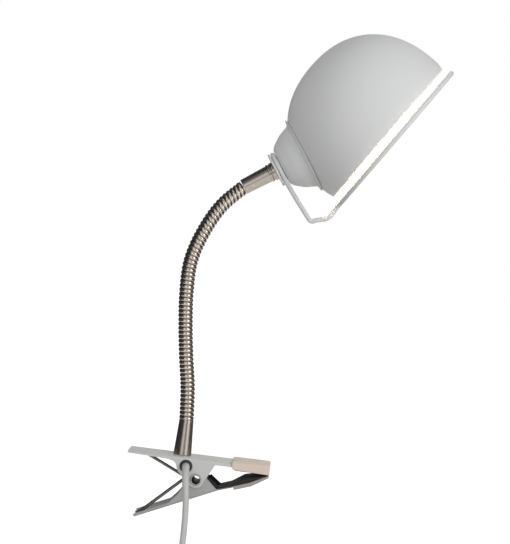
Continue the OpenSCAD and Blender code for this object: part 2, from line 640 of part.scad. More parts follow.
// Half of the switch's case: a round ended shell from the middle plane to y
module switch_half(s) {
    wall = 1.6;
    deep = switch_h / 2;
    module oval(inset) {
        r = switch_w / 2 - inset;
        run = switch_len - switch_w;
        translate([-r, -run / 2]) square([2 * r, run]);
        for (e = [-1, 1]) translate([0, e * run / 2]) circle(r = r);
    }
    module slab(inset, y0, y1) {
        side_plate(min(s * y0, s * y1), max(s * y0, s * y1)) oval(inset);
    }
    translate(switch_mid) difference() {
        union() {
            difference() {
                union() {
                    slab(0, 0, deep - 1.2);
                    slab(1.2, 0, deep);
                }
                slab(wall, -1, deep - wall);
            }
            children();
        }
        translate([0, 0, -50]) cylinder(h = 100, r = lead_d / 2 + fit);
    }
}
rocker_w = 11;
rocker_len = 20;
rocker_pin_r = 1.2;
rocker_y = -switch_h / 2 + 3;
screw_x = 6;
screw_z = switch_len / 2 - 11;
screw_r = 1.4;
module screw_bosses(y0, y1) {
    for (z = [-screw_z, screw_z]) along_y(screw_x, z, y0, y1, 3.2);
}
module switch_base() {
    color("white") difference() {
        switch_half(1) screw_bosses(0, switch_h / 2 - 1);
        translate(switch_mid) for (z = [-screw_z, screw_z]) {
            along_y(screw_x, z, -1, switch_h, screw_r + fit);
            along_y(screw_x, z, switch_h / 2 - 2, switch_h, 2.7);
        }
    }
}
module switch_cover() {
    wx = rocker_w / 2 + side_gap;
    color("white") difference() {
        switch_half(-1) {
            screw_bosses(-switch_h / 2 + 1, 0);
            for (s = [-1, 1]) translate([s > 0 ? wx : -wx - 2.2, -switch_h / 2 + 1, -3])
                cube([2.2, 4.6, 6]);
        }
        translate(switch_mid) {
            translate([-wx, -switch_h, -rocker_len / 2 - 0.5]) cube([2 * wx, switch_h - 1.6, rocker_len + 1]);
            translate([-wx - 2.6, rocker_y, 0]) rotate([0, 90, 0])
                cylinder(h = 2 * wx + 5.2, r = rocker_pin_r + fit);
            for (z = [-screw_z, screw_z]) along_y(screw_x, z, -switch_h / 2 + 2, 1, screw_r + fit);
        }
    }
}
rocker_lean = 8;
module switch_rocker() {
    half = rocker_len / 2 - 1;
    face = 3 + 1.6;
    color("white") translate(switch_mid + [0, rocker_y, 0]) rotate([rocker_lean, 0, 0]) {
        translate([-rocker_w / 2, 0, 0]) rotate([90, 0, 90]) linear_extrude(rocker_w)
            polygon([[-face - 1.4, -half], [-face, 0], [-face - 1.4, half], [1.2, half * 0.8],
                [2.6, 0], [1.2, -half * 0.8]]);
        translate([-rocker_w / 2 - 2, 0, 0]) rotate([0, 90, 0])
            cylinder(h = rocker_w + 4, r = rocker_pin_r);
    }
}
module switch_contacts() {
    color("gold") translate(switch_mid) for (z = [-1, 1])
        translate([-7.5, 1.6, z * 12.5 - 3.5]) cube([6, 4.6, 7]);
}
module switch_screws() {
    color("silver") translate(switch_mid) for (z = [-screw_z, screw_z]) {
        along_y(screw_x, z, -switch_h / 2 + 3, switch_h / 2 - 0.8, screw_r);
        along_y(screw_x, z, switch_h / 2 - 2, switch_h / 2 - 0.4, 2.6);
    }
}
plug_w = 35;
plug_h = 13.6;
plug_len = 36;
root_r = pin_r - 0.2;
pin_hold = 9;       // depth of each pin inside the plug
module plug_body() {
    color("white") translate(plug_at) difference() {
        intersection() {
            side_plate(-plug_h / 2, plug_h / 2) polygon([[-4, 0], [4, 0], [6.4, -9],
                [plug_w / 2 - 1, -plug_len + 13], [plug_w / 2, -plug_len + 9], [plug_w / 2, -plug_len],
                [-plug_w / 2, -plug_len], [-plug_w / 2, -plug_len + 9], [1 - plug_w / 2, -plug_len + 13],
                [-6.4, -9]]);
            rotate([0, 0, 90]) side_plate(-plug_w, plug_w) polygon([[-4, 0], [4, 0],
                [5.2, -8], [plug_h / 2, -plug_len + 12], [plug_h / 2, -plug_len],
                [-plug_h / 2, -plug_len], [-plug_h / 2, -plug_len + 12], [-5.2, -8]]);
        }
        for (s = [-1, 1]) translate([s * pin_gap / 2, 0, -plug_len - 1])
            cylinder(h = pin_hold + 2, r = root_r + fit);
    }
}
module plug_pins() {
    color("silver") translate(plug_at) for (s = [-1, 1])
        translate([s * pin_gap / 2, 0, -plug_len - pin_len]) {
            cylinder(h = 1, r1 = pin_r - 0.7, r2 = pin_r);
            translate([0, 0, 1]) cylinder(h = pin_len - pin_root - 1, r = pin_r);
            translate([0, 0, pin_len - pin_root]) cylinder(h = pin_root + pin_hold, r = root_r);
        }
}

upper_jaw();
lower_jaw();
upper_tip_sleeve();
lower_tip_sleeve();
upper_grip_pad();
lower_grip_liner();
pivot_tube();
spring_upper_half();
spring_lower_half();
cord_grommet();
base_ferrule();
base_nipple();
base_nut();
base_lock_washer();
for (i = [0 : n_links - 1]) neck_link(i);
head_ferrule();
head_nipple();
neck_disc();
guard_frame();
holder_cup();
lampholder_body();
holder_contacts();
shade_ring();
shade_dome();
bulb_glass();
bulb_cap();
bulb_stem();
bulb_filament();
strain_relief();
inner_lead();
mains_cord();
cord_drop();
cord_coil();
cord_tail();
cord_tie();
switch_base();
switch_cover();
switch_rocker();
switch_contacts();
switch_screws();
plug_body();
plug_pins();
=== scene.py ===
"""Finished look of a clip on reading lamp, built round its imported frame.

Lengths inside the classes are millimetres; meshes are made in metres.
"""

import json
import logging
import math
from dataclasses import dataclass, field, replace
from enum import Enum

import bmesh
import bpy
import numpy as np
from mathutils import Matrix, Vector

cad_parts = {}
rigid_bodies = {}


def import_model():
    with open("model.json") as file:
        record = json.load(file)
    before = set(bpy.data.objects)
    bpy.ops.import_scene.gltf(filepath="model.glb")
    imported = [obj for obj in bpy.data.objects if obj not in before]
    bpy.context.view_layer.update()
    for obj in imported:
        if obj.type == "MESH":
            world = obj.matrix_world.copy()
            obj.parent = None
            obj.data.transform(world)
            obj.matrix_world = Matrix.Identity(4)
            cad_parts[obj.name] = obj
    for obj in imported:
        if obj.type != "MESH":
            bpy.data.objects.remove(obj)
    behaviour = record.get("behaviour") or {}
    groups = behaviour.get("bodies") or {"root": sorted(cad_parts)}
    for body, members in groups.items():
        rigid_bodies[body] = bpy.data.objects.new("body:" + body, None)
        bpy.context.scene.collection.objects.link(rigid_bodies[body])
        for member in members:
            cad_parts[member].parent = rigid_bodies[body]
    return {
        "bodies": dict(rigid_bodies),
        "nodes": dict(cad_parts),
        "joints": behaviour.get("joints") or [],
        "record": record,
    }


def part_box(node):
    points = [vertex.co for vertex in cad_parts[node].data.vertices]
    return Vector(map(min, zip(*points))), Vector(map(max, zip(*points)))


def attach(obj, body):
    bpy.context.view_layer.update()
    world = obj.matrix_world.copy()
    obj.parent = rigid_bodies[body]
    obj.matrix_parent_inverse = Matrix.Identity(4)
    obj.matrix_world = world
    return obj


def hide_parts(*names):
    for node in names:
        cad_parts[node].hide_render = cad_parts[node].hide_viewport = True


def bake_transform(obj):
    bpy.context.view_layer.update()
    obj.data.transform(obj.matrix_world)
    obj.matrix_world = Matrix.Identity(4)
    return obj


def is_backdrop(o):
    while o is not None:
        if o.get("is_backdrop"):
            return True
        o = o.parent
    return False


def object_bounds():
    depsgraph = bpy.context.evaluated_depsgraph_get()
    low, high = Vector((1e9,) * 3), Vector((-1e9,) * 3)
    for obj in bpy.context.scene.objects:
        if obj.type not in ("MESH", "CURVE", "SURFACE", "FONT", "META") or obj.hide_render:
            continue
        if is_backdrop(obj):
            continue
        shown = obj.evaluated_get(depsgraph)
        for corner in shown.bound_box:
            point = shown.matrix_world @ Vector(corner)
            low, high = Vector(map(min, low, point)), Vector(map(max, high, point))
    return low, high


MM = 0.001
LOG = logging.getLogger("reading_lamp")
SHARP_EDGE = 40.0  # degrees past which an edge of a new mesh stays sharp
CAD_SHARP_EDGE = 35.0  # the same on the rounded copy of a CAD node
ROUNDED_EDGE = 32.0  # degrees past which an edge of such a copy is rounded
FLAT_EDGE = 1.5  # degrees below which two CAD triangles count as one face
MERGE_DISTANCE = 1e-7  # metres, on a new mesh
CAD_MERGE_DISTANCE = 2e-6  # metres, on the copy of a CAD node


# ---------------------------------------------------------------- arrays
def unit(vectors: np.ndarray) -> np.ndarray:
    """Scales vectors to length one."""
    return vectors / np.linalg.norm(vectors, axis=-1, keepdims=True)


def tilted(points: np.ndarray, degrees: float, origin: np.ndarray) -> np.ndarray:
    """Turns points about the Y axis, so that +Z leans towards +X, and moves them.

    Args:
        points: Array that ends in x, y, z.
        degrees: Angle of lean from upright.
        origin: Where the local origin goes.

    Returns:
        The placed points.
    """
    a = math.radians(degrees)
    turn = np.array([[math.cos(a), 0, math.sin(a)], [0, 1, 0], [-math.sin(a), 0, math.cos(a)]])
    return points @ turn.T + origin


def smooth_line(points: np.ndarray, per_span: int, closed: bool = False) -> np.ndarray:
    """Smooth curve through points: a cubic on each span, whose slope at a point is that of the
    parabola through the point and its neighbours, measured along the chords.

    Args:
        points: Points to pass through.
        per_span: Samples on each span.
        closed: Whether the last point joins the first.

    Returns:
        Samples along the curve.
    """
    if closed:
        padded = np.concatenate([points[-1:], points, points[:2]])
    else:
        padded = np.concatenate([2 * points[:1] - points[1:2], points,
                                 2 * points[-1:] - points[-2:-1]])
    chord = np.diff(padded, axis=0)
    length = np.linalg.norm(chord, axis=1, keepdims=True)
    rate = chord / length
    slope = (rate[:-1] * length[1:] + rate[1:] * length[:-1]) / (length[1:] + length[:-1])
    b, c, span = padded[1:-2, None], padded[2:-1, None], length[1:-1, None]
    leave, arrive = slope[:-1, None] * span, slope[1:, None] * span
    t = (np.arange(per_span) / per_span)[None, :, None]
    curve = ((2 * t ** 3 - 3 * t ** 2 + 1) * b + (t ** 3 - 2 * t ** 2 + t) * leave
             + (3 * t ** 2 - 2 * t ** 3) * c + (t ** 3 - t ** 2) * arrive)
    curve = curve.reshape(-1, 3)
    return curve if closed else np.concatenate([curve, points[-1:]])


def along(line: np.ndarray) -> np.ndarray:
    """Distance along a line at each of its points."""
    steps = np.linalg.norm(np.diff(line, axis=0), axis=1)
    return np.concatenate([[0.0], np.cumsum(steps)])


def evenly(line: np.ndarray, step: float) -> np.ndarray:
    """Samples a line again at an even spacing: straight steps between neighbouring points.

    Args:
        line: Points of the line.
        step: Spacing to come close to.

    Returns:
        The evenly spaced points.
    """
    run = along(line)
    marks = np.linspace(0, run[-1], max(2, int(round(run[-1] / step)) + 1))
    return np.stack([np.interp(marks, run, line[:, k]) for k in range(3)], axis=1)


def relaxed(line: np.ndarray, passes: int) -> np.ndarray:
    """Evens out bends: each pass moves every inner point halfway to its neighbours' middle.

    Args:
        line: Points of the line.
        passes: How many times the points are moved.

    Returns:
        The evened line.
    """
    line = line.copy()
    for _ in range(passes):
        line[1:-1] = line[1:-1] / 2 + (line[:-2] + line[2:]) / 4
    return line


def carried(line: np.ndarray, radii: np.ndarray, sides: int, reference: tuple,
            closed: bool = False) -> np.ndarray:
    """Circle carried along a line. Ring i lies in the plane across the line's direction, with
    its first axis along direction x reference.

    Args:
        line: Middle line.
        radii: Radius at each point of the line, or at each point and side.
        sides: Points round each ring.
        reference: Direction that the line never runs along.
        closed: Whether the line joins its own start.

    Returns:
        Grid of points, rings by sides.
    """
    if closed:
        direction = np.roll(line, -1, axis=0) - np.roll(line, 1, axis=0)
    else:
        direction = np.gradient(line, axis=0)
    direction = unit(direction)
    across = unit(np.cross(direction, np.array(reference, float)))
    over = np.cross(direction, across)
    angle = 2 * np.pi * np.arange(sides) / sides
    turn = angle[None, :, None]
    ring = across[:, None] * np.cos(turn) + over[:, None] * np.sin(turn)
    radii = np.broadcast_to(np.asarray(radii, float).reshape(len(line), -1), (len(line), sides))
    return line[:, None] + ring * radii[..., None]


def turned(profile: np.ndarray, sides: int) -> np.ndarray:
    """Surface of revolution: each profile point becomes a circle round Z.

    Args:
        profile: Points of radius and height.
        sides: Points round each circle.

    Returns:
        Grid of points, circles by sides.
    """
    angle = 2 * np.pi * np.arange(sides) / sides
    radius, height = profile[:, 0, None], profile[:, 1, None]
    return np.stack([radius * np.cos(angle), radius * np.sin(angle),
                     np.broadcast_to(height, (len(profile), sides))], axis=-1)


def turned_across(profile: np.ndarray, sides: int, middle: np.ndarray) -> np.ndarray:
    """Surface of revolution round a line along Y: the turned profile with Y and Z exchanged.

    Args:
        profile: Points of radius and distance along Y.
        sides: Points round each circle.
        middle: Where the local origin goes.

    Returns:
        Grid of points, circles by sides.
    """
    grid = turned(profile, sides)
    return np.stack([grid[..., 0], grid[..., 2], grid[..., 1]], axis=-1) + middle


def eased(t: np.ndarray) -> np.ndarray:
    """Smooth step from 0 to 1: t squared times (3 - 2t), held outside that range."""
    t = np.clip(t, 0, 1)
    return t * t * (3 - 2 * t)


# ---------------------------------------------------------------- meshes
def new_object(name: str, vertices: np.ndarray, faces: list,
               smooth_angle: float = SHARP_EDGE) -> bpy.types.Object:
    """Makes a mesh object from millimetre points.

    Args:
        name: Object name.
        vertices: Points, three numbers each.
        faces: Lists of vertex numbers.
        smooth_angle: Edges sharper than this, in degrees, stay sharp.

    Returns:
        The object, with merged vertices and faces that point outwards.
    """
    mesh = bpy.data.meshes.new(name)
    mesh.from_pydata((vertices.reshape(-1, 3) * MM).tolist(), [], faces)
    work = bmesh.new()
    work.from_mesh(mesh)
    bmesh.ops.remove_doubles(work, verts=work.verts, dist=MERGE_DISTANCE)
    bmesh.ops.recalc_face_normals(work, faces=work.faces)
    work.to_mesh(mesh)
    work.free()
    return linked(name, mesh, smooth_angle)


def linked(name: str, mesh: bpy.types.Mesh, smooth_angle: float) -> bpy.types.Object:
    """Puts a mesh in the scene as a smoothly shaded object.

    Args:
        name: Object name.
        mesh: The mesh.
        smooth_angle: Edges sharper than this, in degrees, stay sharp.

    Returns:
        The object.
    """
    mesh.shade_smooth()
    mesh.set_sharp_from_angle(angle=math.radians(smooth_angle))
    piece = bpy.data.objects.new(name, mesh)
    bpy.context.scene.collection.objects.link(piece)
    return piece


def grid_faces(rows: int, columns: int, rows_close: bool) -> np.ndarray:
    """Quads between neighbouring rows and columns of a grid, whose columns always close.

    Args:
        rows: Rows of the grid.
        columns: Columns of the grid.
        rows_close: Whether the last row joins the first.

    Returns:
        Four vertex numbers for each quad.
    """
    i = np.arange(rows if rows_close else rows - 1)[:, None]
    k = np.arange(columns)[None, :]
    i2, k2 = (i + 1) % rows, (k + 1) % columns
    quads = np.stack([i * columns + k, i * columns + k2, i2 * columns + k2, i2 * columns + k],
                     axis=-1)
    return quads.reshape(-1, 4)


def tube_object(name: str, grid: np.ndarray, closed: bool = False,
                smooth_angle: float = SHARP_EDGE) -> bpy.types.Object:
    """Object from a grid of rings; a tube that doesn't join itself gets a flat cap at each end.

    Args:
        name: Object name.
        grid: Points, rings by sides.
        closed: Whether the last ring joins the first.
        smooth_angle: Edges sharper than this, in degrees, stay sharp.

    Returns:
        The tube.
    """
    rows, columns = grid.shape[:2]
    faces = grid_faces(rows, columns, closed).tolist()
    if not closed:
        faces.append(list(range(columns)))
        faces.append([(rows - 1) * columns + k for k in range(columns)])
    return new_object(name, grid, faces, smooth_angle)


def softened(frame: dict, node: str, width: float, segments: int = 2) -> bpy.types.Object:
    """Copy of a CAD node with its vertices merged and its sharp edges rounded.

    Args:
        frame: The loaded frame.
        node: CAD node to copy and replace.
        width: Width of the rounding, in millimetres.
        segments: Faces across the rounding.

    Returns:
        The rounded copy.
    """
    mesh = frame["nodes"][node].data.copy()
    mesh.materials.clear()
    work = bmesh.new()
    work.from_mesh(mesh)
    bmesh.ops.remove_doubles(work, verts=work.verts, dist=CAD_MERGE_DISTANCE)
    bmesh.ops.dissolve_limit(work, angle_limit=math.radians(FLAT_EDGE), verts=work.verts,
                             edges=work.edges)
    work.to_mesh(mesh)
    work.free()
    piece = linked(node + "_finish", mesh, CAD_SHARP_EDGE)
    bevel = piece.modifiers.new("rounding", "BEVEL")
    bevel.width = width * MM
    bevel.segments = segments
    bevel.limit_method = "ANGLE"
    bevel.angle_limit = math.radians(ROUNDED_EDGE)
    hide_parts(node)
    return piece


# ---------------------------------------------------------------- finishes
class Relief(Enum):
    """Kinds of fine relief that a finish can have."""

    PEEL = "peel"
    BRUSHED = "brushed"
    GRIP = "grip"


class Groups:
    """Shader node groups that more than one finish uses."""

    @staticmethod
    def _new(name: str, sockets: list) -> tuple:
        """Makes an empty group.

        Args:
            name: Name of the group.
            sockets: Tuples of name, direction, socket type and default value.

        Returns:
            The group, its input node and its output node.
        """
        group = bpy.data.node_groups.new(name, "ShaderNodeTree")
        for label, way, kind, default in sockets:
            socket = group.interface.new_socket(name=label, in_out=way, socket_type=kind)
            if default is not None:
                socket.default_value = default
        return group, group.nodes.new("NodeGroupInput"), group.nodes.new("NodeGroupOutput")

    @staticmethod
    def mottle() -> bpy.types.NodeTree:
        """Group that shifts a colour and a roughness a little in soft patches.

        Returns:
            The group, built on first use.
        """
        found = bpy.data.node_groups.get("mottle")
        if found:
            return found
        group, into, out = Groups._new("mottle", [
            ("Vector", "INPUT", "NodeSocketVector", None),
            ("Colour", "INPUT", "NodeSocketColor", (0.8, 0.8, 0.8, 1)),
            ("Patch Colour", "INPUT", "NodeSocketColor", (0.6, 0.6, 0.6, 1)),
            ("Amount", "INPUT", "NodeSocketFloat", 0.1),
            ("Scale", "INPUT", "NodeSocketFloat", 40.0),
            ("Low Roughness", "INPUT", "NodeSocketFloat", 0.35),
            ("High Roughness", "INPUT", "NodeSocketFloat", 0.45),
            ("Colour", "OUTPUT", "NodeSocketColor", None),
            ("Roughness", "OUTPUT", "NodeSocketFloat", None)])
        noise = group.nodes.new("ShaderNodeTexNoise")
        noise.inputs["Detail"].default_value = 4
        strength = group.nodes.new("ShaderNodeMath")
        strength.operation = "MULTIPLY"
        mix = group.nodes.new("ShaderNodeMix")
        mix.data_type = "RGBA"
        spread = group.nodes.new("ShaderNodeMapRange")
        link = group.links.new
        link(into.outputs["Vector"], noise.inputs["Vector"])
        link(into.outputs["Scale"], noise.inputs["Scale"])
        link(noise.outputs["Fac"], strength.inputs[0])
        link(into.outputs["Amount"], strength.inputs[1])
        link(strength.outputs[0], mix.inputs["Factor"])
        link(into.outputs["Colour"], mix.inputs["A"])
        link(into.outputs["Patch Colour"], mix.inputs["B"])
        link(noise.outputs["Fac"], spread.inputs["Value"])
        link(into.outputs["Low Roughness"], spread.inputs["To Min"])
        link(into.outputs["High Roughness"], spread.inputs["To Max"])
        link(mix.outputs["Result"], out.inputs["Colour"])
        link(spread.outputs["Result"], out.inputs["Roughness"])
        return group

    @staticmethod
    def fine_relief() -> bpy.types.NodeTree:
        """Group that gives the height of a fine relief, mixed from a noise and one five times
        coarser.

        Returns:
            The group, built on first use.
        """
        found = bpy.data.node_groups.get("fine_relief")
        if found:
            return found
        group, into, out = Groups._new("fine_relief", [
            ("Vector", "INPUT", "NodeSocketVector", None),
            ("Scale", "INPUT", "NodeSocketFloat", 400.0),
            ("Coarse Share", "INPUT", "NodeSocketFloat", 0.4),
            ("Height", "OUTPUT", "NodeSocketFloat", None)])
        fine = group.nodes.new("ShaderNodeTexNoise")
        coarse = group.nodes.new("ShaderNodeTexNoise")
        fifth = group.nodes.new("ShaderNodeMath")
        fifth.operation = "MULTIPLY"
        fifth.inputs[1].default_value = 0.2
        mix = group.nodes.new("ShaderNodeMix")
        link = group.links.new
        link(into.outputs["Vector"], fine.inputs["Vector"])
        link(into.outputs["Vector"], coarse.inputs["Vector"])
        link(into.outputs["Scale"], fine.inputs["Scale"])
        link(into.outputs["Scale"], fifth.inputs[0])
        link(fifth.outputs[0], coarse.inputs["Scale"])
        link(into.outputs["Coarse Share"], mix.inputs["Factor"])
        link(fine.outputs["Fac"], mix.inputs["A"])
        link(coarse.outputs["Fac"], mix.inputs["B"])
        link(mix.outputs["Result"], out.inputs["Height"])
        return group


def started(name: str) -> tuple:
    """Finds a finish's material, or starts it under a name that no material of the frame has.

    Args:
        name: Name of the finish.

    Returns:
        The material, and its Principled surface, or None where the material was there before.
    """
    label = f"{name}_finish"
    found = bpy.data.materials.get(label)
    if found:
        return found, None
    made = bpy.data.materials.new(label)
    made.use_nodes = True
    return made, made.node_tree.nodes["Principled BSDF"]


@dataclass(frozen=True)
class Finish:
    """Surface finish: colour with soft patches, roughness range and a fine relief."""

    name: str
    colour: tuple
    patch: tuple
    rough: tuple = (0.34, 0.44)
    amount: float = 0.12
    patch_scale: float = 45.0
    metallic: float = 0.0
    relief: Relief = Relief.PEEL
    relief_scale: float = 700.0
    relief_depth: float = 0.08
    lean: float = 0.0
    coat: float = 0.0
    sheen: float = 0.0
    specular: float = 0.5
    # Whether the colour gets painted shade where the mesh's groove attribute marks recesses.
    groove: bool = False

    def material(self) -> bpy.types.Material:
        """Builds the finish's material on first use.

        Returns:
            The material.
        """
        made, shader = started(self.name)
        if shader is None:
            return made
        tree = made.node_tree
        shader.inputs["Metallic"].default_value = self.metallic
        shader.inputs["Coat Weight"].default_value = self.coat
        shader.inputs["Coat Roughness"].default_value = 0.2
        shader.inputs["Sheen Weight"].default_value = self.sheen
        shader.inputs["Specular IOR Level"].default_value = self.specular
        place = tree.nodes.new("ShaderNodeTexCoord")
        mapping = tree.nodes.new("ShaderNodeMapping")
        mapping.inputs["Rotation"].default_value = (0, -math.radians(self.lean), 0)
        mapping.inputs["Scale"].default_value = {
            Relief.PEEL: (1, 1, 1), Relief.BRUSHED: (0.06, 0.06, 1), Relief.GRIP: (1, 0.35, 1),
        }[self.relief]
        patches = tree.nodes.new("ShaderNodeGroup")
        patches.node_tree = Groups.mottle()
        for label, value in (("Colour", (*self.colour, 1)), ("Patch Colour", (*self.patch, 1)),
                             ("Amount", self.amount), ("Scale", self.patch_scale),
                             ("Low Roughness", self.rough[0]), ("High Roughness", self.rough[1])):
            patches.inputs[label].default_value = value
        relief = tree.nodes.new("ShaderNodeGroup")
        relief.node_tree = Groups.fine_relief()
        relief.inputs["Scale"].default_value = self.relief_scale
        bump = tree.nodes.new("ShaderNodeBump")
        bump.inputs["Strength"].default_value = self.relief_depth
        bump.inputs["Distance"].default_value = 0.0002
        link = tree.links.new
        link(place.outputs["Object"], mapping.inputs["Vector"])
        link(mapping.outputs["Vector"], patches.inputs["Vector"])
        link(mapping.outputs["Vector"], relief.inputs["Vector"])
        colour = patches.outputs["Colour"]
        # Painted shade in marked grooves and bores.
        if self.groove:
            colour = self._painted_recess_shade(tree, colour)
        link(colour, shader.inputs["Base Color"])
        link(patches.outputs["Roughness"], shader.inputs["Roughness"])
        link(relief.outputs["Height"], bump.inputs["Height"])
        link(bump.outputs["Normal"], shader.inputs["Normal"])
        return made

    @staticmethod
    def _painted_recess_shade(tree: bpy.types.NodeTree, colour: bpy.types.NodeSocket) -> bpy.types.NodeSocket:
        """Paints shade into a colour: darkens it where the mesh's groove attribute is high.

        Args:
            tree: The material's nodes.
            colour: Colour before darkening.

        Returns:
            The darkened colour.
        """
        groove = tree.nodes.new("ShaderNodeAttribute")
        groove.attribute_name = "groove"
        dark = tree.nodes.new("ShaderNodeMix")
        dark.data_type = "RGBA"
        dark.blend_type = "MULTIPLY"
        # Colour that marked recesses are darkened towards: painted shade.
        dark.inputs["B"].default_value = (0.16, 0.13, 0.11, 1)
        tree.links.new(groove.outputs["Fac"], dark.inputs["Factor"])
        tree.links.new(colour, dark.inputs["A"])
        return dark.outputs["Result"]


@dataclass(frozen=True)
class Glow:
    """Glass that shines: a Principled surface with emission."""

    name: str
    colour: tuple
    strength: float
    rough: float = 0.25
    transmission: float = 0.0

    def material(self) -> bpy.types.Material:
        """Builds the glowing material on first use.

        Returns:
            The material.
        """
        made, shader = started(self.name)
        if shader is None:
            return made
        tree = made.node_tree
        shader.inputs["Base Color"].default_value = (1, 0.96, 0.88, 1)
        shader.inputs["Roughness"].default_value = self.rough
        shader.inputs["Transmission Weight"].default_value = self.transmission
        shader.inputs["Emission Strength"].default_value = self.strength
        place = tree.nodes.new("ShaderNodeTexCoord")
        noise = tree.nodes.new("ShaderNodeTexNoise")
        noise.inputs["Scale"].default_value = 60
        ramp = tree.nodes.new("ShaderNodeMix")
        ramp.data_type = "RGBA"
        ramp.inputs["A"].default_value = (*self.colour, 1)
        ramp.inputs["B"].default_value = (*[min(1, c * 1.12) for c in self.colour], 1)
        tree.links.new(place.outputs["Object"], noise.inputs["Vector"])
        tree.links.new(noise.outputs["Fac"], ramp.inputs["Factor"])
        tree.links.new(ramp.outputs["Result"], shader.inputs["Emission Color"])
        return made


HEAD_ENAMEL = Finish("head_enamel", (0.797, 0.803, 0.803), (0.768, 0.768, 0.768), (0.56, 0.59),
                     0.15, 30, relief_scale=900, relief_depth=0.04, specular=0.25)
ARM_ENAMEL = Finish("arm_enamel", (0.68, 0.68, 0.67), (0.58, 0.58, 0.56), (0.38, 0.5), 0.25, 60,
                    relief_scale=800, relief_depth=0.1)
# Darker copy of the clip's enamel for the lower arm: painted shade.
SHADED_LOWER_ENAMEL = Finish("lower_arm_painted_shade_enamel", (0.46, 0.46, 0.455), (0.36, 0.36, 0.35), (0.4, 0.52), 0.3,
                      60, relief_scale=800, relief_depth=0.1)
SLEEVE_VINYL = Finish("sleeve_vinyl", (0.84, 0.71, 0.60), (0.78, 0.63, 0.52), (0.5, 0.62), 0.3, 70,
                      relief_scale=600, relief_depth=0.14, sheen=0.1)
# Darker copy of the sleeve vinyl for the lower sleeve: painted shade.
SHADED_LOWER_VINYL = Finish("lower_sleeve_painted_shade_vinyl", (0.42, 0.38, 0.35), (0.34, 0.30, 0.27), (0.5, 0.62), 0.3,
                     70, relief_scale=600, relief_depth=0.14)
GRIP_RUBBER = Finish("grip_rubber", (0.030, 0.026, 0.024), (0.05, 0.045, 0.04), (0.6, 0.75), 0.5,
                     90, relief=Relief.GRIP, relief_scale=420, relief_depth=0.3, specular=0.15)
BLACK_RUBBER = Finish("black_rubber", (0.02, 0.02, 0.02), (0.04, 0.04, 0.04), (0.55, 0.7), 0.4, 80,
                      relief_scale=500, relief_depth=0.15)
# groove=True paints shade into the neck's grooves.
GOOSENECK = Finish("gooseneck_steel", (0.54, 0.48, 0.42), (0.45, 0.39, 0.34), (0.17, 0.23), 0.25,
                   120, metallic=1.0, relief_scale=1200, relief_depth=0.05, groove=True)
POST_NICKEL = Finish("post_nickel", (0.40, 0.355, 0.32), (0.32, 0.28, 0.25), (0.22, 0.3), 0.4, 500,
                     metallic=1.0, relief=Relief.BRUSHED, relief_scale=2600, relief_depth=0.12)
HEAD_NICKEL = replace(POST_NICKEL, name="head_nickel", lean=55.5)
SPRING_STEEL = Finish("spring_steel", (0.17, 0.155, 0.14), (0.10, 0.09, 0.08), (0.28, 0.4), 0.5,
                      160, metallic=1.0, relief_scale=900, relief_depth=0.1)
PLATED_STEEL = Finish("plated_steel", (0.70, 0.69, 0.67), (0.55, 0.54, 0.52), (0.14, 0.24), 0.3,
                      120, metallic=1.0, relief_scale=900, relief_depth=0.04)
# groove=True paints shade into the eyelet's bore.
EYELET_STEEL = Finish("eyelet_steel", (0.42, 0.41, 0.40), (0.30, 0.29, 0.28), (0.55, 0.65), 0.3,
                      120, metallic=1.0, relief_scale=900, relief_depth=0.04, groove=True)
BRASS = Finish("turned_brass", (0.70, 0.50, 0.20), (0.50, 0.33, 0.12), (0.25, 0.38), 0.4, 150,
               metallic=1.0, relief=Relief.BRUSHED, relief_scale=1800, relief_depth=0.1)
HOLDER_PLASTIC = Finish("holder_plastic", (0.74, 0.72, 0.66), (0.66, 0.63, 0.56), (0.38, 0.5), 0.25,
                        60, relief_scale=700, relief_depth=0.08)
LEAD_PVC = Finish("lead_pvc", (0.64, 0.64, 0.63), (0.57, 0.57, 0.55), (0.36, 0.48), 0.25, 90,
                  relief_scale=500, relief_depth=0.08)
CASE_PLASTIC = Finish("case_plastic", (0.74, 0.74, 0.72), (0.68, 0.68, 0.65), (0.28, 0.38), 0.2, 70,
                      relief_scale=900, relief_depth=0.06, coat=0.1)
LIT_GLASS = Glow("lit_glass", (1.0, 0.74, 0.42), 24.0, 0.3)


def dress(piece: bpy.types.Object, finish: "Finish | Glow", body: str) -> bpy.types.Object:
    """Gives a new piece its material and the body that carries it.

    Args:
        piece: The new piece.
        finish: What its surface is.
        body: Body that it moves with.

    Returns:
        The same piece.
    """
    piece.data.materials.clear()
    piece.data.materials.append(finish.material())
    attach(piece, body)
    LOG.info("%s rides on %s", piece.name, body)
    return piece


def repaint(frame: dict, node: str, finish: Finish) -> None:
    """Gives a CAD node that stays a finish in each of its material slots.

    Args:
        frame: The loaded frame.
        node: CAD node.
        finish: What its surface is.
    """
    mesh = frame["nodes"][node].data
    if not mesh.materials:
        mesh.materials.append(None)
    for k in range(len(mesh.materials)):
        mesh.materials[k] = finish.material()


# ---------------------------------------------------------------- studio
def placing(side: np.ndarray, top: np.ndarray, back: np.ndarray, place: np.ndarray) -> Matrix:
    """Matrix that turns an object's axes to side, top and back, and moves it to a place."""
    columns = np.stack([side, top, back, place], axis=1)
    return Matrix([*columns.tolist(), [0, 0, 0, 1]])


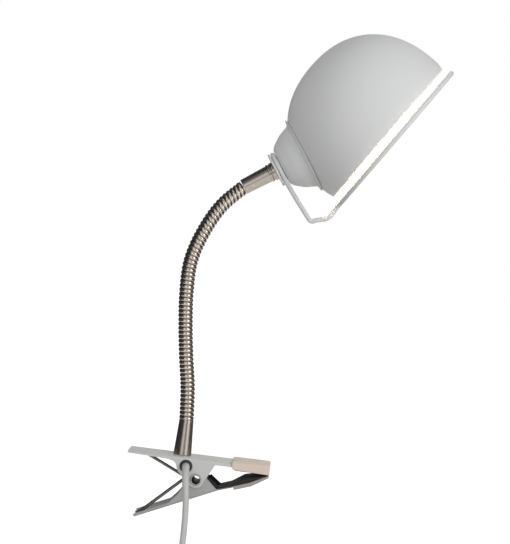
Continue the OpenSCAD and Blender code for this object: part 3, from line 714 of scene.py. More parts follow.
@dataclass
class Studio:
    """Camera, soft lights, white surroundings and the floor."""

    eye: tuple = (11.4, -1200.0, 170.8)
    aim: tuple = (-18.3, 0.0, 149.0)
    roll: float = 7.0
    focal: float = 105.6
    floor_drop: float = 0.012
    floor_half: float = 4.0
    floor_glow: float = 0.86
    world_light: float = 0.44

    def camera(self) -> None:
        """Makes the camera: it looks from eye to aim, and upright things lean right by roll."""
        data = bpy.data.cameras.new("camera")
        data.lens = self.focal
        data.sensor_width = 36
        data.clip_start, data.clip_end = 0.05, 50
        camera = bpy.data.objects.new("camera", data)
        bpy.context.scene.collection.objects.link(camera)
        eye, aim = np.array(self.eye) * MM, np.array(self.aim) * MM
        forward = unit(aim - eye)
        right = unit(np.cross(forward, (0, 0, 1)))
        upward = np.cross(right, forward)
        a = math.radians(self.roll)
        side = math.cos(a) * right + math.sin(a) * upward
        top = math.cos(a) * upward - math.sin(a) * right
        camera.matrix_world = placing(side, top, -forward, eye)
        bpy.context.scene.camera = camera

    @staticmethod
    def area(name: str, place: tuple, target: tuple, size: float, watts: float) -> None:
        """Adds a square area light that faces a target.

        Args:
            name: Name of the light.
            place: Middle of the light, in metres.
            target: Where it faces, in metres.
            size: Length of its sides, in metres.
            watts: Its power.
        """
        data = bpy.data.lights.new(name, "AREA")
        data.size = size
        data.energy = watts
        light = bpy.data.objects.new(name, data)
        bpy.context.scene.collection.objects.link(light)
        back = unit(np.array(place, float) - np.array(target, float))
        side = unit(np.cross((0, 0, 1), back))
        light.matrix_world = placing(side, np.cross(back, side), back, np.array(place, float))

    def lights(self) -> None:
        """Soft key from the right, wide fill in front, and flags that metal reflects as dark."""
        self.area("key", (0.85, -0.80, 0.42), (0.02, 0, 0.2), 0.6, 4.6)
        self.area("fill", (-0.25, -1.60, 0.35), (-0.02, 0, 0.15), 1.1, 4.2)
        self.flag("left_flag", (-0.50, -0.80, -0.60), (0, 2.8, 0), (0, 0, 1.5), 0.10)
        self.flag("top_flag", (-0.60, -0.45, 0.80), (0.55, 0, 0.35), (0, 1.6, 0), 0.30)
        self.flag("front_flag", (-1.10, -1.70, -1.00), (2.05, 0, 0), (0, 0, 2.6), 0.50)
        self.flag("right_flag", (0.42, -0.20, -0.60), (0, 2.9, 0), (0, 0, 1.3), 0.30)

    @staticmethod
    def flag(name: str, corner: tuple, side: tuple, rise: tuple, grey: float) -> None:
        """Adds a plain grey card that only shows in reflections and through glass.

        Args:
            name: Name of the card.
            corner: One corner, in metres.
            side: From that corner along one edge, in metres.
            rise: From that corner along the other edge, in metres.
            grey: Its colour.
        """
        a, u, v = (np.array(k, float) for k in (corner, side, rise))
        card = new_object(name, np.stack([a, a + u, a + u + v, a + v]) / MM, [[0, 1, 2, 3]])
        made = bpy.data.materials.new(name)
        made.use_nodes = True
        shader = made.node_tree.nodes["Principled BSDF"]
        shader.inputs["Base Color"].default_value = (grey, grey, grey, 1)
        shader.inputs["Roughness"].default_value = 1
        card.data.materials.append(made)
        card.visible_camera = False
        card.visible_diffuse = False
        card.visible_shadow = False
        card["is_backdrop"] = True

    def surroundings(self, lowest: float) -> None:
        """White world and a floor below the object that looks white but keeps its shadow.

        Args:
            lowest: Height of the object's lowest point, in metres.
        """
        world = bpy.data.worlds.new("surroundings")
        bpy.context.scene.world = world
        world.use_nodes = True
        tree = world.node_tree
        back = tree.nodes["Background"]
        back.inputs["Color"].default_value = (1, 1, 1, 1)
        tree.links.new(self._seen(tree, self.world_light, 1.0), back.inputs["Strength"])
        floor = self._floor(lowest)
        floor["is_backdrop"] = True

    @staticmethod
    def _seen(tree: bpy.types.NodeTree, unseen: float, seen: float) -> bpy.types.NodeSocket:
        """Value that depends on the ray.

        Args:
            tree: Nodes of the material or the world.
            unseen: Value for rays that carry light.
            seen: Value for camera, glossy and transmission rays.

        Returns:
            The socket with the value.
        """
        path = tree.nodes.new("ShaderNodeLightPath")
        first = tree.nodes.new("ShaderNodeMath")
        first.operation = "MAXIMUM"
        both = tree.nodes.new("ShaderNodeMath")
        both.operation = "MAXIMUM"
        tree.links.new(path.outputs["Is Camera Ray"], first.inputs[0])
        tree.links.new(path.outputs["Is Glossy Ray"], first.inputs[1])
        tree.links.new(first.outputs[0], both.inputs[0])
        tree.links.new(path.outputs["Is Transmission Ray"], both.inputs[1])
        power = tree.nodes.new("ShaderNodeMapRange")
        power.inputs["To Min"].default_value = unseen
        power.inputs["To Max"].default_value = seen
        tree.links.new(both.outputs[0], power.inputs["Value"])
        return power.outputs["Result"]

    def _floor(self, lowest: float) -> bpy.types.Object:
        """Pale floor, a little below the lowest point of the hanging lead.

        Args:
            lowest: Height of the object's lowest point, in metres.

        Returns:
            The floor.
        """
        half, z = self.floor_half, lowest - self.floor_drop
        corners = np.array([[-half, -half, z], [half, -half, z], [half, half * 3, z],
                            [-half, half * 3, z]]) / MM
        floor = new_object("floor", corners, [[0, 1, 2, 3]])
        made = bpy.data.materials.new("pale_floor")
        made.use_nodes = True
        tree = made.node_tree
        shader = tree.nodes["Principled BSDF"]
        shader.inputs["Base Color"].default_value = (0.55, 0.55, 0.55, 1)
        shader.inputs["Roughness"].default_value = 0.9
        shader.inputs["Emission Color"].default_value = (1, 1, 1, 1)
        tree.links.new(self._seen(tree, 0.0, self.floor_glow),
                       shader.inputs["Emission Strength"])
        floor.data.materials.append(made)
        return floor


# ---------------------------------------------------------------- lead
@dataclass
class Lead:
    """Mains lead from the clip: relief sleeve, hanging stretch, switch, coil, tie and plug."""

    diameter: float = 4.6
    stated_length: float = 1.62
    exit: tuple = (-51.4, -14.5, -0.7)
    relief: tuple = ((-51.4, -12.5, -0.7), (-51.4, -15, -0.7), (-50.9, -22.7, -2.2),
                     (-50, -29.1, -6.6), (-48.8, -33.5, -13))
    hanging: tuple = ((-47.6, -35, -20.7), (-46.7, -35, -30), (-46.2, -35, -40), (-46, -35, -52),
                      (-46, -35, -64), (-46, -35, -78), (-46, -35, -100), (-46, -35, -130),
                      (-46, -35, -150))
    coil_mean: float = 27.0
    layer: float = 4.8
    coil_middle: tuple = (-16.6, -27.8, -167.0)
    row_of_turn: tuple = (0, 0, 1, 1, 2, 2, 3, 3, 3)
    ring_of_turn: tuple = (1, -1, -1, 1, 1, -1, -1, 1, 1)
    step_share: float = 0.18
    tail_bend: float = 20.0
    tail_run: float = 6.0
    coil_samples: int = 560
    sleeve_radius: float = 2.85
    sleeve_taper: float = 0.32
    ring_depth: float = 0.12
    ring_pitch: float = 2.6
    ringed_share: tuple = (0.34, 0.96)
    sleeve_end: tuple = (0.1, 0.28)

    def coil_line(self) -> np.ndarray:
        """Eight and a quarter turns in two rings and four rows. A point lies at the ring's radius
        on a circle in X and Z; radius and row step smoothly at the start of each turn.

        Returns:
            Points of the coil.
        """
        turn = np.linspace(0, len(self.row_of_turn) - 0.75, self.coil_samples)
        index = np.minimum(turn.astype(int), len(self.row_of_turn) - 1)
        before = np.maximum(index - 1, 0)
        share = eased((turn - index) / self.step_share)
        rows, rings = np.array(self.row_of_turn, float), np.array(self.ring_of_turn, float)
        row = rows[before] + (rows[index] - rows[before]) * share
        ring = rings[before] + (rings[index] - rings[before]) * share
        radius = self.coil_mean + ring * self.layer / 2
        angle = np.pi + 2 * np.pi * turn
        x, y, z = self.coil_middle
        return np.stack([x + radius * np.cos(angle), y + (row - 1.5) * self.layer,
                         z + radius * np.sin(angle)], axis=1)

    def first_stretch(self) -> np.ndarray:
        """Middle line from the clip to just above the coil."""
        points = np.array(self.relief + self.hanging, float)
        return relaxed(evenly(smooth_line(points, 12), 1.0), 30)

    def line(self) -> np.ndarray:
        """Whole middle line: fixed points, then the coil, then a quarter turn down to the plug.

        Returns:
            Points of the line.
        """
        head = self.first_stretch()
        coil = self.coil_line()
        end = coil[-1]
        angle = np.radians(np.linspace(90, 0, 14))[1:]
        turn = end + np.stack([self.tail_bend * np.cos(angle), 0 * angle,
                               self.tail_bend * (np.sin(angle) - 1)], axis=1)
        foot = turn[-1] + np.array([[0, 0, -self.tail_run / 2], [0, 0, -self.tail_run]])
        return np.concatenate([head, coil, turn, foot])

    def build(self, frame: dict) -> None:
        """Args:
            frame: The loaded frame.
        """
        line = evenly(self.line(), 3.0)
        grid = carried(line, np.full(len(line), self.diameter / 2), 16, (0.6, 0.6, 0.5))
        cord = dress(tube_object("mains_lead", grid), LEAD_PVC, "clip")
        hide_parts("mains_cord", "cord_drop", "cord_coil", "cord_tail")
        self.relief_sleeve()
        pieces = self.switch(frame) + self.plug(frame)
        tie = dress(softened(frame, "cord_tie", 0.4), BLACK_RUBBER, "clip")
        repaint(frame, "inner_lead", LEAD_PVC)
        LOG.info("lead is %.0f mm long", along(line)[-1])

    def relief_sleeve(self) -> None:
        """Tapered sleeve: its radius falls evenly along the line, and dips in shallow rings where
        the cosine of the distance, cut off below 0 and squared, is high."""
        line = evenly(self.first_stretch(), 0.35)
        line = line[along(line) <= along(np.array(self.relief, float))[-1] + 0.6]
        run = along(line)
        share = run / run[-1]
        waves = np.maximum(0, np.cos(2 * np.pi * run / self.ring_pitch)) ** 2
        first, last = self.ringed_share
        radius = self.sleeve_radius - self.sleeve_taper * share \
            - self.ring_depth * waves * (share > first) * (share < last)
        radius[-2:] -= self.sleeve_end
        sleeve = tube_object("relief_sleeve", carried(line, radius, 28, (1, 0.05, 0)))
        dress(sleeve, LEAD_PVC, "clip")
        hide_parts("strain_relief")

    def switch(self, frame: dict) -> list:
        """Dresses the switch on the lead; the rocker moves on its own body.

        Args:
            frame: The loaded frame.

        Returns:
            The switch's pieces, and the names of its CAD nodes that stay.
        """
        made = [dress(softened(frame, node, 0.7, 3), CASE_PLASTIC, "clip")
                for node in ("switch_base", "switch_cover")]
        made.append(dress(softened(frame, "switch_rocker", 0.5, 3), CASE_PLASTIC, "rocker"))
        repaint(frame, "switch_contacts", BRASS)
        repaint(frame, "switch_screws", PLATED_STEEL)
        return made + ["switch_contacts", "switch_screws"]

    def plug(self, frame: dict) -> list:
        """Dresses the flat two-pin plug.

        Args:
            frame: The loaded frame.

        Returns:
            The plug's body, and the name of its CAD node that stays.
        """
        body = dress(softened(frame, "plug_body", 1.2, 3), CASE_PLASTIC, "clip")
        repaint(frame, "plug_pins", PLATED_STEEL)
        return [body, "plug_pins"]


# ---------------------------------------------------------------- neck
@dataclass
class Gooseneck:
    """Wound steel neck, drawn as one ribbed skin cut into lengths."""

    radius: float = 5.55
    pitch: float = 3.2
    groove_depth: float = 0.55
    per_pitch: int = 12
    sides: int = 48
    last_length: float = 19.7
    last_tilt: float = 40.6
    drift: tuple = (0, -0.9, -1.6, -1.8, -1.9, -2.0, -2.0, -1.2, 0)
    crown: float = 0.12
    samples: int = 200

    def hinges(self, frame: dict) -> np.ndarray:
        """Hinge points along the neck, with the foot ferrule's top and the head's start.

        Args:
            frame: The loaded frame.

        Returns:
            The points, from the foot to the head.
        """
        joints = sorted((j for j in frame["joints"] if j["name"].startswith("neck_")),
                        key=lambda j: j["pos_m"][2])
        points = [np.array(j["pos_m"]) / MM for j in joints]
        low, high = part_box("base_ferrule")
        foot = np.array([(low[0] + high[0]) / 2, 0, high[2]]) / MM
        a = math.radians(self.last_tilt)
        head = points[-1] + self.last_length * np.array([math.sin(a), 0, math.cos(a)])
        return np.stack([foot, *points, head])

    def middle(self, points: np.ndarray) -> np.ndarray:
        """Skin's middle line: a smooth curve through the hinges, each drifted a little in X."""
        return smooth_line(points + np.outer(self.drift, (1.0, 0, 0)), self.samples)

    def skin(self, line: np.ndarray, run: np.ndarray, name: str) -> bpy.types.Object:
        """One length of ribbed tube. The radius dips in a narrow groove that winds once round
        for each pitch: radius minus depth times cos(pi * phase) to the sixth power, less a low
        crown that goes with its square, where phase is distance / pitch plus angle / 2 pi.

        Args:
            line: Middle line of the length.
            run: Distance along the whole neck at each of its points.
            name: Object name.

        Returns:
            The length, with its grooves marked for painted shade.
        """
        angle = np.arange(self.sides) / self.sides
        phase = run[:, None] / self.pitch + angle[None, :]
        groove = np.abs(np.cos(np.pi * phase)) ** 6
        crown = self.crown * np.abs(np.cos(np.pi * phase)) ** 2
        radius = self.radius - crown - self.groove_depth * groove
        grid = carried(line, radius, self.sides, (0, 1, 0))
        piece = tube_object(name, grid, smooth_angle=80)
        # The mark darkens the colour in the grooves: painted shade.
        mark = piece.data.attributes.new("groove", "FLOAT", "POINT")
        if len(piece.data.vertices) == groove.size:
            mark.data.foreach_set("value", (groove.ravel() * 0.9).astype(np.float32))
        return piece

    def build(self, frame: dict) -> None:
        """Makes a skin from the middle of each length to the middle of the next.

        Args:
            frame: The loaded frame.
        """
        points = self.hinges(frame)
        spans = len(points) - 1
        curve = self.middle(points)
        run = along(curve)
        marks = [0.0] + [k + 0.5 for k in range(spans)] + [float(spans)]
        bodies = ["clip"] + [f"neck_{k}" for k in range(2, spans)] + ["head"]
        for k in range(len(marks) - 1):
            start, end = (run[int(round(m * self.samples))] for m in (marks[k], marks[k + 1]))
            steps = max(6, int(round((end - start) / self.pitch * self.per_pitch)))
            here = np.linspace(start, end, steps + 1)
            line = np.stack([np.interp(here, run, curve[:, c]) for c in range(3)], axis=1)
            piece = self.skin(line, here, f"gooseneck_{k + 1}")
            piece.data.materials.append(GOOSENECK.material())
            if k in (0, spans):
                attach(piece, bodies[0] if k == 0 else bodies[-1])
            else:
                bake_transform(piece)
            if k < spans:
                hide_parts(f"neck_link_{k + 1}")
            LOG.info("%s from %.0f to %.0f mm", piece.name, start, end)


# ---------------------------------------------------------------- clip
@dataclass
class Clip:
    """Pressed spring clip with sleeves, liner, eyelet pivot, spring and foot fastening."""

    pivot: tuple = (-43.0, 0.0, -10.0)
    tube_radius: float = 3.9
    bore_radius: float = 3.1
    flange_width: float = 0.75
    half_width: float = 14.5
    wire: float = 2.4
    spring_half: float = 9.5
    turns: float = 2.5
    upper_slope: float = 24.0
    lower_slope: float = 43.5
    arm_lean: float = 24.5
    upper_leg: float = 44.2
    lower_leg: float = 48.0
    coil_clearance: float = 0.3
    lip: float = 0.5
    sides: int = 64
    grommet_profile: tuple = ((2.95, 1.6), (2.95, -0.5), (3.15, -0.75), (4.4, -0.75), (4.75, -0.55),
                              (4.85, -0.25), (4.85, -0.05), (3.42, -0.05), (3.42, 1.6))

    def spring(self, name: str, leave: float, way: int, side: int, leg: tuple, leg_length: float,
               foot: tuple) -> bpy.types.Object:
        """Half of the torsion spring. The coil is a helix: a circle in X and Z whose Y runs from
        one end to the middle; the leg leaves it along its tangent and ends in a short foot.

        Args:
            name: Object name.
            leave: Angle at which the leg leaves the coil, in degrees.
            way: 1 or -1, the sense in which the coil winds.
            side: 1 or -1, the side of the middle on which the coil lies.
            leg: Direction of the leg.
            leg_length: Length of the leg.
            foot: Direction of the foot.

        Returns:
            The spring half.
        """
        radius = self.tube_radius + self.coil_clearance + self.wire / 2
        steps = np.linspace(0, self.turns, 150)
        angle = np.radians(leave) + way * 2 * np.pi * steps
        edge, middle = side * (self.spring_half - self.wire / 2), side * (0.15 + self.wire / 2)
        y = edge + (middle - edge) * steps / self.turns
        coil = np.stack([radius * np.cos(angle), y, radius * np.sin(angle)], axis=1)
        way_out, way_foot = np.array(leg, float), np.array(foot, float)
        end = coil[0] + leg_length * way_out
        bend = smooth_line(np.stack([end + 4 * way_foot, end + 1.2 * way_foot, end - 1.2 * way_out,
                                     end - 4 * way_out]), 8)
        straight = np.linspace(end - 4.4 * way_out, coil[0] + 0.4 * way_out, 30)
        line = np.concatenate([bend, straight, coil]) + np.array(self.pivot)
        return tube_object(name, carried(line, np.full(len(line), self.wire / 2), 18,
                                         (0.05, 1, 0.05)))

    def springs(self) -> None:
        """Both halves of the spring, each on its own arm."""
        up, low, lean = (math.radians(angle) for angle in
                         (self.upper_slope, self.lower_slope, self.arm_lean))
        upper = self.spring("spring_upper", -90 - self.upper_slope, 1, 1,
                            (-math.cos(up), 0, math.sin(up)), self.upper_leg, (-1, 0, 0))
        dress(upper, SPRING_STEEL, "clip")
        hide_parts("spring_upper_half")
        lower = self.spring("spring_lower", 90 + self.lower_slope, -1, -1,
                            (-math.cos(low), 0, -math.sin(low)), self.lower_leg,
                            (-math.cos(lean), 0, -math.sin(lean)))
        dress(lower, SPRING_STEEL, "lower_arm")
        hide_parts("spring_lower_half")

    def eyelet(self) -> None:
        """Hollow pivot, turned round Y: a bore whose edge rolls outwards in a quarter circle to a
        narrow flange at each end. The bore is marked for painted shade, which darkens its colour."""
        half, quarter = self.half_width, np.radians(np.linspace(0, 90, 5))
        lip = np.stack([self.bore_radius + self.lip * (1 - np.cos(quarter)),
                        half - 0.1 + self.lip * np.sin(quarter)], axis=1)
        flange = self.tube_radius + self.flange_width
        face = np.array([[flange - 0.3, half + 0.42], [flange, half + 0.2], [flange, half - 0.38],
                         [self.tube_radius, half - 0.4]])
        side = np.concatenate([lip, face])
        profile = np.concatenate([side, side[::-1] * np.array([1, -1])])
        grid = turned_across(profile, self.sides, np.array(self.pivot))
        faces = grid_faces(len(profile), self.sides, True).tolist()
        eyelet = new_object("pivot_eyelet", grid, faces)
        # The bore's mark darkens its colour: painted shade.
        mark = eyelet.data.attributes.new("groove", "FLOAT", "POINT")
        inside = (profile[:, 0] < self.bore_radius + 0.1).astype(np.float32)
        mark.data.foreach_set("value", np.repeat(inside, self.sides))
        dress(eyelet, EYELET_STEEL, "clip")
        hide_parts("pivot_tube")

    def grommet(self) -> None:
        """Rubber ring where the lead leaves, turned round Y, with a round collar outside."""
        low, high = (np.array(corner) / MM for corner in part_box("cord_grommet"))
        middle = np.array([(low[0] + high[0]) / 2, -self.half_width, (low[2] + high[2]) / 2])
        profile = np.array(self.grommet_profile)
        grid = turned_across(profile[::-1], self.sides, middle)
        ring = new_object("lead_grommet", grid, grid_faces(len(profile), self.sides, True).tolist())
        dress(ring, BLACK_RUBBER, "clip")
        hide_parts("cord_grommet")

    def build(self, frame: dict) -> None:
        """Makes and dresses the clip's pieces.

        Args:
            frame: The loaded frame.
        """
        # The lower arm and its sleeve take darker copies of the enamel and the vinyl: painted
        # shade.
        for node, width, finish, body, slot in (
                ("upper_jaw", 0.35, ARM_ENAMEL, "clip", "white_enamel"),
                ("lower_jaw", 0.35, SHADED_LOWER_ENAMEL, "lower_arm", "white_enamel"),
                ("upper_tip_sleeve", 0.9, SLEEVE_VINYL, "clip", "sleeve_vinyl"),
                ("lower_tip_sleeve", 0.5, SHADED_LOWER_VINYL, "lower_arm", "sleeve_vinyl"),
                ("upper_grip_pad", 0.4, GRIP_RUBBER, "clip", "grip_rubber"),
                ("lower_grip_liner", 0.35, GRIP_RUBBER, "lower_arm", "grip_rubber"),
                ("base_ferrule", 0.3, POST_NICKEL, "clip", "brushed_nickel")):
            dress(softened(frame, node, width, 3), finish, body)
        self.springs()
        self.eyelet()
        self.grommet()
        for node, finish in (("base_nipple", BRASS), ("base_nut", BRASS),
                             ("base_lock_washer", PLATED_STEEL)):
            repaint(frame, node, finish)


# ---------------------------------------------------------------- head
@dataclass
class Head:
    """Lampholder cup, dome shade, wire guard and lit bulb, along the head's own axis."""

    tilt: float = 55.5
    ferrule_length: float = 26.6
    shade_turn: float = 68.0
    shade_radius: float = 63.6
    shade_depth: float = 66.4
    shade_power: float = 2.25
    shade_shift: float = 5.2
    seat_depth: float = 13.1
    rim_length: float = 9.4
    rim_curve: float = 48.0
    shade_wall: float = 1.0
    hole_radius: float = 14.0
    lip_radius: float = 29.6
    guard_radius: float = 63.4
    guard_gap: float = 7.6
    guard_lift: float = 0.9
    guard_slope: float = 2.0
    guard_corner: float = 44.0
    guard_bend: float = 3.2
    rod: float = 3.4
    loop_radius: float = 11.4
    cup_wall: float = 1.2
    spigot_radius: float = 9.75
    cup_shape: tuple = ((13.5, 0), (14.6, 0.7), (16.2, 1.9), (18.9, 5.3), (21.5, 9.1), (23, 12.3),
                        (25, 17.2))
    bulb_start: float = 29.8
    bulb_radius: float = 12.8
    bulb_length: float = 42.0
    bulb_sides: int = 64
    thread_radius: float = 6.55
    thread_depth: float = 0.3
    thread_pitch: float = 2.8
    origin: np.ndarray = field(default_factory=lambda: np.zeros(3))

    @property
    def disc_front(self) -> float:
        """Height of the front of the plate behind the cup."""
        return self.ferrule_length + 1.6

    @property
    def cup_back(self) -> float:
        """Height of the cup's back wall."""
        return self.disc_front + 4

    @property
    def shade_middle(self) -> np.ndarray:
        """Middle of the shade's widest plane."""
        rise = self.cup_back + self.seat_depth + float(self.reach(math.radians(self.shade_turn)))
        return np.array([self.shade_shift, 0, rise])

    def reach(self, angle: np.ndarray) -> np.ndarray:
        """Distance from the shade's middle to its outside, at an angle from its axis:
        ((sin / R)^n + (cos / B)^n)^(-1/n).

        Args:
            angle: Angles from the shade's axis, in radians; past a right angle they count as one.

        Returns:
            The distances.
        """
        angle = np.minimum(np.pi / 2, angle)
        return ((np.sin(angle) / self.shade_radius) ** self.shade_power
                + (np.cos(angle) / self.shade_depth) ** self.shade_power) ** (-1 / self.shade_power)

    def seat(self, radius: np.ndarray, gap: float = 0.35) -> np.ndarray:
        """Height of a round seat at a radius that stays gap outside the shade all the way round.

        Args:
            radius: Radii round the head's axis.
            gap: Least distance from the shade.

        Returns:
            Heights: the lowest over the circle of the point whose distance from the shade's
            middle is the reach in its direction plus the gap, bettered four times from a guess.
        """
        turn = math.radians(self.shade_turn)
        around = np.radians(np.arange(0, 181, 15))
        radius = np.asarray(radius, float)[..., None]
        x = radius * np.cos(around) - self.shade_shift
        y = radius * np.sin(around)
        distance = self.reach(turn) + gap + 0 * x
        for _ in range(4):
            z = np.sqrt(distance ** 2 - x ** 2 - y ** 2)
            lean = np.arccos((z * math.cos(turn) - x * math.sin(turn)) / distance)
            distance = self.reach(lean) + gap
        return (self.shade_middle[2] - np.sqrt(distance ** 2 - x ** 2 - y ** 2)).min(axis=-1)

    def placed(self, points: np.ndarray) -> np.ndarray:
        """Moves points from the head's own axes to where the head is."""
        return tilted(points, self.tilt, self.origin)

    def dome(self) -> bpy.types.Object:
        """Dome shade. Behind its widest plane the radius is R (1 - (depth / B)^n)^(1/n), in front
        R sqrt(1 - (z / curve)^2); the rim rolls over in a half circle to the inner wall.

        Returns:
            The shade, with its hole cut.
        """
        def wall(inset: float, steps: int) -> np.ndarray:
            """Profile of one side of the wall.

            Args:
                inset: Distance inside the outer surface.
                steps: Points behind the widest plane.

            Returns:
                Points of radius and height.
            """
            r, b = self.shade_radius - inset, self.shade_depth - inset
            a = np.radians(np.linspace(0, 90, steps))
            back = -b * np.cos(a)
            ring = r * np.maximum(0, 1 - np.cos(a) ** self.shade_power) ** (1 / self.shade_power)
            front = np.linspace(0, self.rim_length, 10)[1:]
            low = r * np.sqrt(1 - (front / self.rim_curve) ** 2)
            return np.stack([np.concatenate([ring, low]), np.concatenate([back, front])], axis=1)
        outer, inner = wall(0, 90), wall(self.shade_wall, 90)
        middle = (outer[-1] + inner[-1]) / 2
        a = np.radians(np.linspace(0, 180, 9))[1:-1]
        rim = np.stack([middle[0] + self.shade_wall / 2 * np.cos(a),
                        middle[1] + self.shade_wall / 2 * np.sin(a)], axis=1)
        profile = np.concatenate([outer, rim, inner[::-1]])
        sides = 192
        grid = self.placed(tilted(turned(profile, sides), self.shade_turn, self.shade_middle))
        dome = new_object("dome", grid, grid_faces(len(profile), sides, False).tolist(), 60)
        drill = turned(np.array([[self.hole_radius, self.disc_front], [self.hole_radius,
                                 self.disc_front + 30]]), 96)
        tool = tube_object("drill", self.placed(drill))
        cut = dome.modifiers.new("hole", "BOOLEAN")
        cut.operation = "DIFFERENCE"
        cut.object = tool
        cut.solver = "EXACT"
        done = bpy.data.meshes.new_from_object(
            dome.evaluated_get(bpy.context.evaluated_depsgraph_get()))
        bpy.data.objects.remove(dome)
        bpy.data.objects.remove(tool)
        piece = linked("shade", done, 50)
        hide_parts("shade_dome")
        return dress(piece, HEAD_ENAMEL, "head")

    def cup(self) -> None:
        """Lampholder cup: a smooth bowl outside through a few round points, a flared lip that
        follows the shade, and an even wall inside."""
        shape = np.array(self.cup_shape)
        last_radius, last_height = shape[-1]
        stretch = (float(self.seat(last_radius)) - self.cup_back - 0.5) / last_height
        outside = np.stack([shape[:, 0], self.cup_back + shape[:, 1] * stretch, 0 * shape[:, 0]],
                           axis=1)
        outside = smooth_line(outside, 8)[:, :2]
        lip_at = float(self.seat(self.lip_radius))
        lip = np.array([[26.2, lip_at - 1.55], [27.8, lip_at - 1.35], [self.lip_radius - 0.5,
                        lip_at - 1.15], [self.lip_radius - 0.1, lip_at - 1.0],
                        [self.lip_radius, lip_at - 0.75], [self.lip_radius - 0.1, lip_at - 0.5]])
        ring = np.linspace(self.lip_radius - 0.5, 25.2, 8)
        seat = np.stack([ring, self.seat(ring)], axis=1)
        inside = outside[::-1] + np.array([-self.cup_wall, 0.1])
        inside[:, 1] = np.maximum(inside[:, 1], self.cup_back + self.cup_wall)
        profile = np.concatenate([[[self.spigot_radius, self.cup_back]], outside, lip, seat, inside,
                                  [[self.spigot_radius, self.cup_back + self.cup_wall]]])
        grid = self.placed(turned(profile, 128))
        cup = new_object("cup", grid, grid_faces(len(profile), 128, True).tolist(), 38)
        dress(cup, HEAD_ENAMEL, "head")
        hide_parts("holder_cup")

    def guard_line(self) -> np.ndarray:
        """Guard's middle line: round the spigot, down to the corner, and out into the ring, with
        the far side as the mirror image of the near side.

        Returns:
            Points that the rod's middle passes through.
        """
        foot, gap = self.disc_front + 2, self.rod / 2 + 0.3
        a = math.radians(self.shade_turn)
        lowest = np.array([math.cos(a), 0, -math.sin(a)])
        outward = np.array([math.sin(a), 0, math.cos(a)])
        middle = self.shade_middle + (self.rim_length + self.guard_gap) * outward \
            - self.guard_lift * lowest

        def ring(angles: np.ndarray, out: float = 0) -> np.ndarray:
            """Points of the ring round the rim.

            Args:
                angles: Angles from its lowest point, in degrees.
                out: Distance outside the ring at its lowest point.

            Returns:
                The points.
            """
            t = np.radians(np.atleast_1d(angles))[:, None]
            return middle + (self.guard_radius + out) * np.cos(t) * lowest \
                + self.guard_radius * np.sin(t) * np.array([0, 1.0, 0])
        loop = np.radians(np.arange(180, 59, -24))
        share = np.array([0.35, 0.65, 0.9])
        leg = np.stack([18 + share * (self.guard_corner - 18), 0 * share + gap,
                        foot + self.guard_slope * share], axis=1)
        bend = np.radians(np.arange(-90, 8, 32.5))
        corner = np.stack([self.guard_corner + self.guard_bend * np.cos(bend), 0 * bend + gap,
                           foot + self.guard_slope + self.guard_bend * (1 + np.sin(bend))], axis=1)
        half = np.concatenate([
            np.stack([self.loop_radius * np.cos(loop), self.loop_radius * np.sin(loop),
                      0 * loop + foot], axis=1),
            [[12.8, 5.6, foot], [18, gap, foot + 0.2]], leg, corner,
            ring(2, 15), ring(2, 4.5), ring(5.5, 0.8), ring(np.arange(12, 169, 12))])
        mirrored = half[:0:-1] * np.array([1, -1, 1])
        return np.concatenate([half, ring(180), mirrored])

    def guard(self) -> None:
        """Wire guard as one bent rod."""
        line = self.placed(smooth_line(self.guard_line(), 12, closed=True))
        grid = carried(line, np.full(len(line), self.rod / 2), 20, (0.85, 0.7, -0.13), closed=True)
        guard = dress(tube_object("wire_guard", grid, closed=True), HEAD_ENAMEL, "head")
        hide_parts("guard_frame")

    def bulb(self) -> None:
        """Lit tubular bulb: a closed glowing skin that stands for glass, stem and filament, and
        a threaded cap."""
        end = self.disc_front + self.bulb_start
        tube = np.array([[6.2, end - 7.5], [6.2, end - 0.1], [7.4, end + 0.6], [10, end + 3.2],
                         [12.2, end + 7.2], [12.8, end + 10], [12.8, end + 26]])
        rise = np.radians(np.linspace(0, 90, 14))
        dome = np.stack([self.bulb_radius * np.cos(rise),
                         end + self.bulb_length + self.bulb_radius * np.sin(rise)], axis=1)
        neck = smooth_line(np.c_[tube, np.zeros(len(tube))], 6)[:, :2]
        outer = np.concatenate([neck, dome])
        grid = self.placed(turned(outer, self.bulb_sides))
        glass = tube_object("bulb_glass_finish", grid)
        dress(glass, LIT_GLASS, "head")
        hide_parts("bulb_glass", "bulb_stem", "bulb_filament")
        self.cap(end)

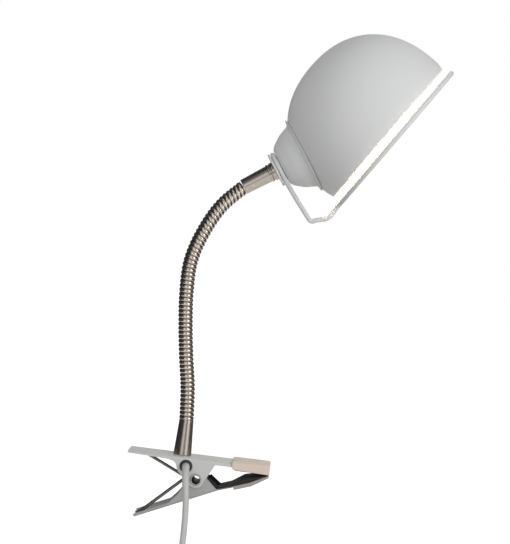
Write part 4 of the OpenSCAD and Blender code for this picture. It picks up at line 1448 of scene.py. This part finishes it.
    def cap(self, end: float) -> None:
        """Threaded cap: the radius swings by the thread's depth along a helix, and the swing
        fades out towards both ends.

        Args:
            end: Height of the cap's front.
        """
        low, high = end - 15.2, end - 0.6
        height = np.linspace(low, high, 120)
        angle = np.arange(self.bulb_sides) / self.bulb_sides
        phase = (height[:, None] - low) / self.thread_pitch + angle[None, :]
        fade = eased((height - low) / 1.2) * eased((high - height) / 1.2)
        radius = self.thread_radius + self.thread_depth * np.sin(2 * np.pi * phase) * fade[:, None]
        ring = 2 * np.pi * angle[None, :]
        barrel = np.stack([radius * np.cos(ring), radius * np.sin(ring),
                           np.broadcast_to(height[:, None], radius.shape)], axis=-1)
        tip = turned(np.array([[1.2, end - 17.8], [2.6, end - 17.6], [3.0, end - 17.0],
                               [4.2, end - 16.4], [6.2, end - 15.3]]), self.bulb_sides)
        cap = tube_object("bulb_cap_finish", self.placed(np.concatenate([tip, barrel])))
        dress(cap, PLATED_STEEL, "head")
        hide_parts("bulb_cap")

    def build(self, frame: dict, origin: np.ndarray) -> None:
        """Makes and dresses the head's pieces round the end of the neck.

        Args:
            frame: The loaded frame.
            origin: Where the neck ends and the head starts.
        """
        self.origin = origin
        self.dome()
        self.cup()
        self.guard()
        self.bulb()
        for node, width, finish, slot in (
                ("head_ferrule", 0.25, HEAD_NICKEL, "brushed_nickel"),
                ("neck_disc", 0.4, HEAD_ENAMEL, "head_enamel"),
                ("shade_ring", 0.4, HOLDER_PLASTIC, "holder_plastic"),
                ("lampholder_body", 0.3, HOLDER_PLASTIC, "holder_plastic")):
            dress(softened(frame, node, width, 3), finish, "head")
        repaint(frame, "head_nipple", BRASS)
        repaint(frame, "holder_contacts", BRASS)


def main() -> None:
    """Builds the studio, the lead, the clip, the neck and the head round the frame."""
    logging.basicConfig(level=logging.INFO, format="%(name)s: %(message)s")
    for item in list(bpy.data.objects):
        bpy.data.objects.remove(item)
    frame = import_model()
    cad_box = [list(corner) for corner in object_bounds()]
    bpy.context.scene.view_settings.view_transform = "Standard"
    studio = Studio()
    studio.camera()
    Lead().build(frame)
    Clip().build(frame)
    neck = Gooseneck()
    neck.build(frame)
    Head().build(frame, neck.hinges(frame)[-1])
    studio.lights()
    studio.surroundings(cad_box[0][2])


if __name__ == "__main__":
    main()
